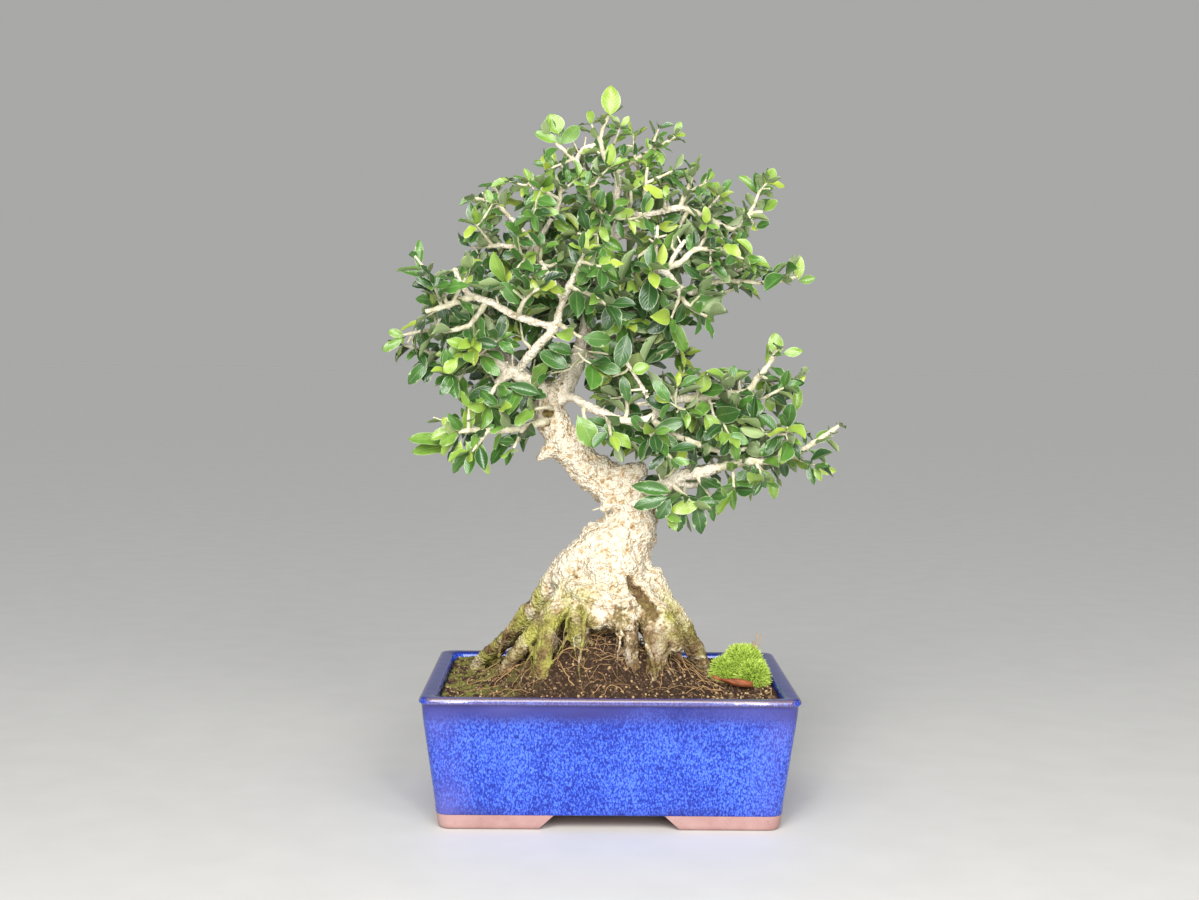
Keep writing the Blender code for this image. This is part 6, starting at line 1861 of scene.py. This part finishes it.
    def grow_leaves(self, rule: Rule, name: str, leaves: Sequence[Leaf], shelf: bpy.types.Collection,
                    finish: bpy.types.Material, rng: random.Random) -> bpy.types.Object:
        """Grow one piece of leaves from their frames."""
        guide = self.bench.mesh(name, [leaf.foot for leaf in leaves], [])
        turns = [Matrix((leaf.along, leaf.side, leaf.up)).transposed().to_euler("XYZ") for leaf in leaves]
        note(guide, "turn", "FLOAT_VECTOR", [Vector(turn) for turn in turns])
        note(guide, "size", "FLOAT_VECTOR", [Vector((leaf.length, leaf.width, leaf.length)) * MM for leaf in leaves])
        note(guide, "tone", "FLOAT", [leaf.tone for leaf in leaves])
        note(guide, "form", "INT", [rng.randrange(len(shelf.objects)) for _ in leaves])
        piece = rule.grow(self.bench, guide, name, {"Forms": shelf, "Finish": finish})
        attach(piece, "root")
        return piece

    def twigs(self, finish: bpy.types.Material, rng: random.Random) -> bpy.types.Object:
        """Give bark to every shoot, with a swelling at each pair of leaves, and add short bare spurs."""
        routes, fresh = [], []
        for shoot in self.shoots:
            route = [p.copy() for p in shoot.route]
            for k, p in enumerate(route):
                if k and k % 3 == 0:
                    p.w *= 1.28
            routes.append(route)
            fresh.append(shoot.fresh)
        for k in range(150):
            host = rng.choice(self.shoots).route if k % 3 else rng.choice(
                [limb for limb in self.wood.limbs if limb.places[0].w < 8 and limb.places[0].z > 160]).places
            at = rng.randrange(1, len(host) - 1)
            along = (host[at + 1] - host[at]).to_3d().normalized()
            side = along.orthogonal().normalized()
            turn = rng.uniform(0, math.tau)
            out = (side * math.cos(turn) + along.cross(side) * math.sin(turn) + along * 0.5).normalized()
            foot, thick = host[at].to_3d() + out * host[at].w * 0.5, rng.uniform(0.45, 0.8)
            reach = rng.uniform(2.5, 6.5) + host[at].w
            route = [Vector((*(foot + out * reach * t), thick * (1 - 0.2 * t))) for t in (0.0, 0.4, 0.75, 1.0)]
            if not any(self.outside(p) for p in route):
                routes.append(route)
                fresh.append(rng.uniform(0, 0.3))
        guide = self.bench.strands("twig_guide", routes, fresh)
        piece = strand_rule().grow(self.bench, guide, "twigs", {"Sides": 7, "Finish": finish})
        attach(piece, "root")
        return piece

    def build(self, bark: bpy.types.Material, green: bpy.types.Material, rng: random.Random,
              nodes: dict[str, tuple[Vector, Vector]]) -> list[bpy.types.Object]:
        """Build the twigs and, region by region, the leaves.

        Args:
            bark: the finish of the twigs.
            green: the finish of the leaves.
            rng: the source of everything that varies.
            nodes: the spray solids that the leaves stand for, with their boxes in metres.

        Returns:
            The pieces.
        """
        self.source_shoots()
        self.fill_shoots(rng)
        limbs = [p for limb in self.wood.limbs for p in limb.places] + [p for s in self.shoots for p in s.route]
        tree = KDTree(len(limbs))
        for k, p in enumerate(limbs):
            tree.insert(p.to_3d(), k)
        tree.balance()
        test = (self.bare_wood(), tree, [p.w for p in limbs])
        self.set_accents()
        for shoot in self.shoots:
            if shoot.leaf:
                self.leaf_up(shoot, test, rng)
        shelf = bpy.data.collections.new("leaf_forms")
        bpy.context.scene.collection.children.link(shelf)
        for form in (LeafForm("leaf_a", 0.10, 0.16, 0.15, 0.05), LeafForm("leaf_b", 0.22, 0.28, -0.25, 0.10, 0.46, 0.9),
                     LeafForm("leaf_c", -0.06, 0.10, 0.30, 0.08, 0.55, 0.68), LeafForm("leaf_d", 0.30, 0.05, 0.10, 0.14),
                     LeafForm("leaf_e", 0.05, 0.38, -0.10, 0.04, 0.52, 0.95), LeafForm("leaf_f", 0.14, -0.08, -0.4, 0.12, 0.48)):
            form.make(shelf)
        rule = self.leaf_rule()
        pieces = [self.twigs(bark, rng)]
        for region in Region:
            leaves = [leaf for leaf in self.leaves if leaf.region is region]
            piece = self.grow_leaves(rule, region.value, leaves, shelf, green, rng)
            stood = [name for name, (low, high) in nodes.items()
                     if Region.of((low + high) / 2 / MM - self.bench.shift) is region]
            if stood:
                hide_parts(*stood)
            LOG.info("%s: %d leaves for %d sprays", region.value, len(leaves), len(stood))
            pieces.append(piece)
        clear_collection(shelf)
        return pieces


@dataclass
class MossCushion:
    """Cushion moss at the trunk's right foot: a closed mound with a pile of tiny leafy stems on it."""

    bench: Bench
    soil: PottingSoil
    lumps: tuple[tuple[float, float, float, float, float, float], ...] = (
        (75, -4, 74, 14, 13, 17), (65.5, -7, 72, 10, 9, 11), (79, -15, 72, 9.5, 8, 11))
    shrink: float = 0.74
    tufts_per_cm2: float = 125.0
    stalks: tuple[tuple[float, float, float, float], ...] = (
        (80, 84, 82.5, 96), (79, 82, 80, 91), (82, 83, 84.5, 95))

    def mound(self) -> bpy.types.Object:
        """Melt the lumps into one mound."""
        bm = bmesh.new()
        for x, y, z, rx, ry, rz in self.lumps:
            start = len(bm.verts)
            bmesh.ops.create_icosphere(bm, subdivisions=4, radius=1.0)
            bm.verts.ensure_lookup_table()
            for v in bm.verts[start:]:
                spot = Vector((x + v.co.x * rx * self.shrink, y + v.co.y * ry * self.shrink,
                               z + v.co.z * rz * self.shrink))
                spot += v.co * (1.1 * noise.noise(spot * 0.22) + 0.5 * noise.noise(spot * 0.6))
                spot.z = max(spot.z, 63.6)
                v.co = self.bench.metres(spot)
        data = bpy.data.meshes.new("moss_mound")
        bm.to_mesh(data)
        bm.free()
        mound = bpy.data.objects.new("moss_mound", data)
        self.bench.shop.objects.link(mound)
        melt = mound.modifiers.new("melt", "REMESH")
        melt.mode, melt.voxel_size = "VOXEL", 1.0 * MM
        ease = mound.modifiers.new("ease", "SMOOTH")
        ease.factor, ease.iterations = 0.5, 4
        return self.bench.settle(mound, "moss_mound")

    def tuft_shapes(self) -> bpy.types.Collection:
        """Make unit tufts: small tapered leaves that spread from one stem, darker with painted shade at the foot."""
        shapes = bpy.data.collections.new("tuft_shapes")
        bpy.context.scene.collection.children.link(shapes)
        rng = random.Random(3)
        for k in range(4):
            verts: list[Vector] = []
            faces: list[tuple[int, ...]] = []
            tones: list[float] = []
            for spike in range(6):
                turn = math.tau * spike / 5 + rng.uniform(-0.4, 0.4)
                lean = 0.15 if spike == 5 else rng.uniform(0.45, 0.8)
                out = Vector((math.cos(turn) * lean, math.sin(turn) * lean, 1.0 - lean * 0.45))
                side = Vector((-math.sin(turn), math.cos(turn), 0)) * 0.17
                foot = Vector((0, 0, -0.2)) + out * 0.1
                base = len(verts)
                verts += [foot - side, foot + side, foot + out * 0.25 - Vector((0, 0, 0.16)), foot + out * rng.uniform(0.8, 1.15)]
                faces += [(base, base + 1, base + 3), (base + 1, base + 2, base + 3), (base + 2, base, base + 3),
                          (base, base + 2, base + 1)]
                # Painted shade: dark at each leaf's foot, light at its tip
                tones += [0.1, 0.1, 0.1, 1.0]
            data = bpy.data.meshes.new(f"tuft_{k}")
            data.from_pydata(verts, [], faces)
            tuft = outward(bpy.data.objects.new(f"tuft_{k}", data))
            note(tuft, "pile", "FLOAT", tones)
            shapes.objects.link(tuft)
        return shapes

    def pile_rule(self) -> Rule:
        """Write the rule that plants tufts over a mound, upright on its surface and of uneven height."""
        rule = Rule("moss_pile", {"Per Square Metre": 1.0, "Shortest": 0.001, "Tallest": 0.002, "Seed": 0,
                                  "Shapes": bpy.types.Collection, "Finish": bpy.types.Material})
        src = rule.source
        spots = rule.add("GeometryNodeDistributePointsOnFaces", {"distribute_method": "RANDOM"},
                         {"Mesh": src[0], "Density": src["Per Square Metre"], "Seed": src["Seed"]})
        size = rule.add("FunctionNodeRandomValue", {"data_type": "FLOAT"},
                        {2: src["Shortest"], 3: src["Tallest"], "Seed": src["Seed"]})
        shade = rule.add("FunctionNodeRandomValue", {"data_type": "FLOAT"}, {2: 0.0, 3: 1.0, "Seed": 9})
        toned = rule.add("GeometryNodeStoreNamedAttribute", {"data_type": "FLOAT", "domain": "POINT"},
                         {"Geometry": spots.outputs["Points"], "Name": "tone", "Value": shade.outputs[1]})
        spin = rule.add("FunctionNodeRandomValue", {"data_type": "FLOAT_VECTOR"},
                        {0: (-0.35, -0.35, 0.0), 1: (0.35, 0.35, 6.28), "Seed": src["Seed"]})
        turn = rule.add("FunctionNodeRotateRotation", {"rotation_space": "LOCAL"},
                        {0: spots.outputs["Rotation"], 1: spin.outputs[0]})
        shapes = rule.add("GeometryNodeCollectionInfo", links={"Collection": src["Shapes"], "Separate Children": True,
                                                               "Reset Children": True})
        placed = rule.add("GeometryNodeInstanceOnPoints",
                          links={"Points": toned.outputs[0], "Instance": shapes.outputs[0], "Pick Instance": True,
                                 "Rotation": turn.outputs[0], "Scale": size.outputs[1]})
        rule.end(placed.outputs[0], src["Finish"])
        return rule

    def build(self, finish: bpy.types.Material, straw: bpy.types.Material) -> list[bpy.types.Object]:
        """Build the mound, its pile and the stalks of its spore cases."""
        mound = self.mound()
        guide = bpy.data.objects.new("pile_guide", mound.data.copy())
        self.bench.shop.objects.link(guide)
        shapes = self.tuft_shapes()
        pile = self.pile_rule().grow(self.bench, guide, "moss_pile", {
            "Per Square Metre": self.tufts_per_cm2 * 1e4, "Shortest": 2.6 * MM, "Tallest": 5.0 * MM, "Seed": 4,
            "Shapes": shapes, "Finish": finish})
        clear_collection(shapes)
        mound.data.materials.append(finish)
        mound.data.shade_smooth()
        routes = [spline([Vector((x, -5, z, 0.3)), Vector(((x + tip_x) / 2 + 0.5, -6, (z + tip_z) / 2, 0.24)),
                          Vector((tip_x, -7, tip_z, 0.34))], 1.5) for x, z, tip_x, tip_z in self.stalks]
        stalks = strand_rule().grow(self.bench, self.bench.strands("stalk_guide", routes), "moss_stalks",
                                    {"Sides": 5, "Finish": straw})
        for piece in (mound, pile, stalks):
            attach(piece, "root")
        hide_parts("moss_cushion")
        return [mound, pile, stalks]


@dataclass
class FallenLeaf:
    """One dead leaf that lies curled on the soil in front of the moss."""

    bench: Bench
    soil: PottingSoil
    foot: tuple[float, float] = (56.0, -28.0)
    tip: tuple[float, float] = (78.0, -31.0)
    width: float = 7.6
    stations: int = 22

    def build(self, finish: bpy.types.Material) -> bpy.types.Object:
        """Build the leaf, closed, with its edges curled up."""
        across = [k / 5 for k in range(-5, 6)]
        rows: list[Vector] = []
        tones: list[float] = []
        start, end = Vector((*self.foot, 0)), Vector((*self.tip, 0))
        along = (end - start).normalized()
        side = Vector((-along.y, along.x, 0))
        for layer in (0.55, 0.0):
            for k in range(self.stations + 1):
                u = k / self.stations
                blade = max(0.0, (u - 0.22) / 0.78)
                half = self.width / 2 * max(0.09, (4 * blade * (1 - blade)) ** 0.62)
                for v in across:
                    spot = start.lerp(end, u) + side * v * half * 0.92
                    bed = self.soil.height(spot.x, spot.y) + 0.55
                    curl = 2.4 * abs(v) ** 2 * (0.5 + 0.8 * u) + 3.0 * (1 - u) ** 2 + 0.9 * u * u + 0.35 * math.sin(u * 9 + v * 2)
                    rib = -0.25 if abs(v) < 0.1 else 0.0
                    rows.append(Vector((spot.x, spot.y, bed + 0.55 + curl + layer + rib * (1 if layer else 0))))
                    tones.append(0.25 + 0.5 * noise.noise(spot * 0.35) + 0.35 * abs(v))
        wide, tall = len(across), self.stations + 1
        faces = []
        for layer in range(2):
            for k in range(tall - 1):
                for j in range(wide - 1):
                    a = layer * wide * tall + k * wide + j
                    quad = (a, a + wide, a + wide + 1, a + 1)
                    faces.append(quad if layer else quad[::-1])
        rim = ([j for j in range(wide - 1)] + [k * wide + wide - 1 for k in range(tall - 1)]
               + [(tall - 1) * wide + j for j in range(wide - 1, 0, -1)] + [k * wide for k in range(tall - 1, 0, -1)])
        under = wide * tall
        faces += [(rim[k], rim[(k + 1) % len(rim)], under + rim[(k + 1) % len(rim)], under + rim[k])
                  for k in range(len(rim))]
        leaf = outward(self.bench.mesh("dry_leaf", rows, faces, finish))
        note(leaf, "tone", "FLOAT", tones)
        leaf.data.shade_smooth()
        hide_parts("dry_leaf")
        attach(leaf, "root")
        return leaf


@dataclass(frozen=True)
class Studio:
    """A pale floor, soft boxes and the camera."""

    floor: str = "cbc9c5"
    sky: str = "d4d4d3"
    zenith: str = "9fa4aa"
    sky_strength: float = 0.6
    lens_mm: float = 52.39
    pitch: float = 3.1005
    yaw: float = 0.5256
    roll: float = 0.486
    sun: float = 1.95
    boxes: tuple[tuple[str, tuple[float, float, float], tuple[float, float, float], tuple[float, float], float], ...] = (
        ("box_left", (-0.47, -1.05, 0.70), (0.0, 0.0, 0.18), (0.62, 0.5), 6.5),
        ("box_right", (0.50, -1.05, 0.70), (0.0, 0.0, 0.18), (0.62, 0.5), 7.0),
        ("strip_left", (-0.178, -0.97, 0.40), (0.0, 0.0, 0.22), (0.05, 0.56), 2.7),
        ("strip_right", (0.186, -0.97, 0.40), (0.0, 0.0, 0.22), (0.08, 0.56), 3.5))

    def build(self, shift: Vector) -> None:
        """Set up the floor, the light and the camera.

        Args:
            shift: from the pot's frame to the row's, in millimetres.
        """
        scene = bpy.context.scene
        world = bpy.data.worlds.new("studio")
        world.use_nodes = True
        tree = world.node_tree
        sky = tree.nodes["Background"]
        rise = add_node(tree, "ShaderNodeSeparateXYZ", links={0: add_node(tree, "ShaderNodeTexCoord").outputs["Generated"]})
        fade = add_node(tree, "ShaderNodeValToRGB", links={"Fac": rise.outputs[2]},
                        stops=((0.2, self.sky), (0.6, self.zenith)))
        tree.links.new(fade.outputs[0], sky.inputs["Color"])
        sky.inputs["Strength"].default_value = self.sky_strength
        scene.world = world
        paint, tree, shader = start_finish("studio_floor", Roughness=0.6)
        place = add_node(tree, "ShaderNodeTexCoord").outputs["Object"]
        mottle = add_node(tree, "ShaderNodeTexNoise", links={"Vector": place, "Scale": 30.0, "Detail": 3.0})
        tint = add_node(tree, "ShaderNodeValToRGB", links={"Fac": mottle.outputs["Fac"]},
                        stops=((0.3, self.floor), (0.7, "cfcdc9")))
        tree.links.new(tint.outputs[0], shader.inputs["Base Color"])
        data = bpy.data.meshes.new("floor")
        data.from_pydata([(-30, -30, 0), (30, -30, 0), (30, 30, 0), (-30, 30, 0)], [], [(0, 1, 2, 3)])
        data.materials.append(paint)
        floor = bpy.data.objects.new("floor", data)
        scene.collection.objects.link(floor)
        floor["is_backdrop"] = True
        for name, spot, aim, size, power in self.boxes:
            lamp = bpy.data.lights.new(name, "AREA")
            lamp.shape, lamp.size, lamp.size_y, lamp.energy = "RECTANGLE", *size, power
            box = bpy.data.objects.new(name, lamp)
            box.location = spot
            box.rotation_euler = (Vector(aim) - Vector(spot)).to_track_quat("-Z", "Y").to_euler()
            scene.collection.objects.link(box)
        lamp = bpy.data.lights.new("overhead", "SUN")
        lamp.energy, lamp.angle = self.sun, math.radians(28)
        high = bpy.data.objects.new("overhead", lamp)
        high.rotation_euler = (math.radians(46), math.radians(-8), 0)
        scene.collection.objects.link(high)
        pitch, yaw, roll = (math.radians(a) for a in (self.pitch, self.yaw, self.roll))
        ahead = Vector((math.sin(yaw) * math.cos(pitch), math.cos(yaw) * math.cos(pitch), -math.sin(pitch)))
        right = ahead.cross(Vector((0, 0, 1))).normalized()
        up = right.cross(ahead)
        across = right * math.cos(roll) + up * math.sin(roll)
        over = up * math.cos(roll) - right * math.sin(roll)
        view = bpy.data.cameras.new("camera")
        view.lens, view.sensor_width, view.clip_start = self.lens_mm, 36.0, 0.01
        camera = bpy.data.objects.new("camera", view)
        turn = Matrix((across, over, -ahead)).transposed().to_4x4()
        camera.matrix_world = Matrix.Translation((Vector((-15.03, -969.41, 249.05)) + shift) * MM) @ turn
        scene.collection.objects.link(camera)
        scene.camera = camera
        scene.view_settings.view_transform = "Standard"
        scene.view_settings.exposure = 0.0


def flat_list(box: Any) -> list:
    """Turn a box of vectors into plain lists of numbers."""
    return float(box) if isinstance(box, (int, float)) else [flat_list(part) for part in box]


def main() -> None:
    """Build the bonsai and its studio."""
    logging.basicConfig(level=logging.INFO, format="%(name)s: %(message)s")
    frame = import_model()
    solid_box = flat_list(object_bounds())
    low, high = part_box("pot")
    middle = (Vector(low) + Vector(high)) / 2 / MM
    bench = Bench(Vector((middle.x, middle.y, 0.0)), bpy.context.scene.collection)
    sprays = {name: tuple(Vector(end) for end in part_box(name)) for name in frame["nodes"] if name.startswith("spray")}
    pot = GlazedPot(bench)
    LOG.info("pot: %s", pot.build(CobaltGlaze().build(), FiredClay().build()).name)
    soil = PottingSoil(bench, pot)
    root = TwoTone("fine_root", "a98558", "f0dfba", 0.8, 6.0).build()
    for piece in soil.build(PottingGrit().build(), root, random.Random(11)):
        LOG.info("soil: %s, %d faces", piece.name, len(piece.data.polygons))
    wood = Wood(bench, soil)
    young = OliveBark("limb_bark", cream="ebe1ce", tan="d3c4a8", rust="b0997a", crack_shade="7d6a4e", granule_mm=1.1,
                      rise_mm=0.6)
    for piece in wood.build(OliveBark("olive_bark").build(), young.build(), random.Random(wood.seed)):
        LOG.info("wood: %s, %d faces", piece.name, len(piece.data.polygons))
    moss = MossCushion(bench, soil)
    for piece in moss.build(CushionMoss().build(), root):
        LOG.info("moss: %s, %d faces", piece.name, len(piece.data.polygons))
    FallenLeaf(bench, soil).build(TwoTone("dry_leaf", "4a1f12", "9a5a38", 0.6, 1.5).build())
    box = (Vector(solid_box[0]), Vector(solid_box[1]))
    crown = Foliage(bench, wood, box)
    for piece in crown.build(TwigBark().build(), OliveLeaf().build(), random.Random(crown.seed), sprays):
        LOG.info("crown: %s, %d faces", piece.name, len(piece.data.polygons))
    mesh = TwoTone("drain_mesh_plastic", "101211", "1c1f1e", 0.55, 1.0).build()
    for name, obj in frame["nodes"].items():
        if name.startswith("drain"):
            obj.data.materials.clear()
            obj.data.materials.append(mesh)
    Studio().build(bench.shift)
    {"solids": solid_box, "dressed": flat_list(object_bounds())}


if __name__ == "__main__":
    main()
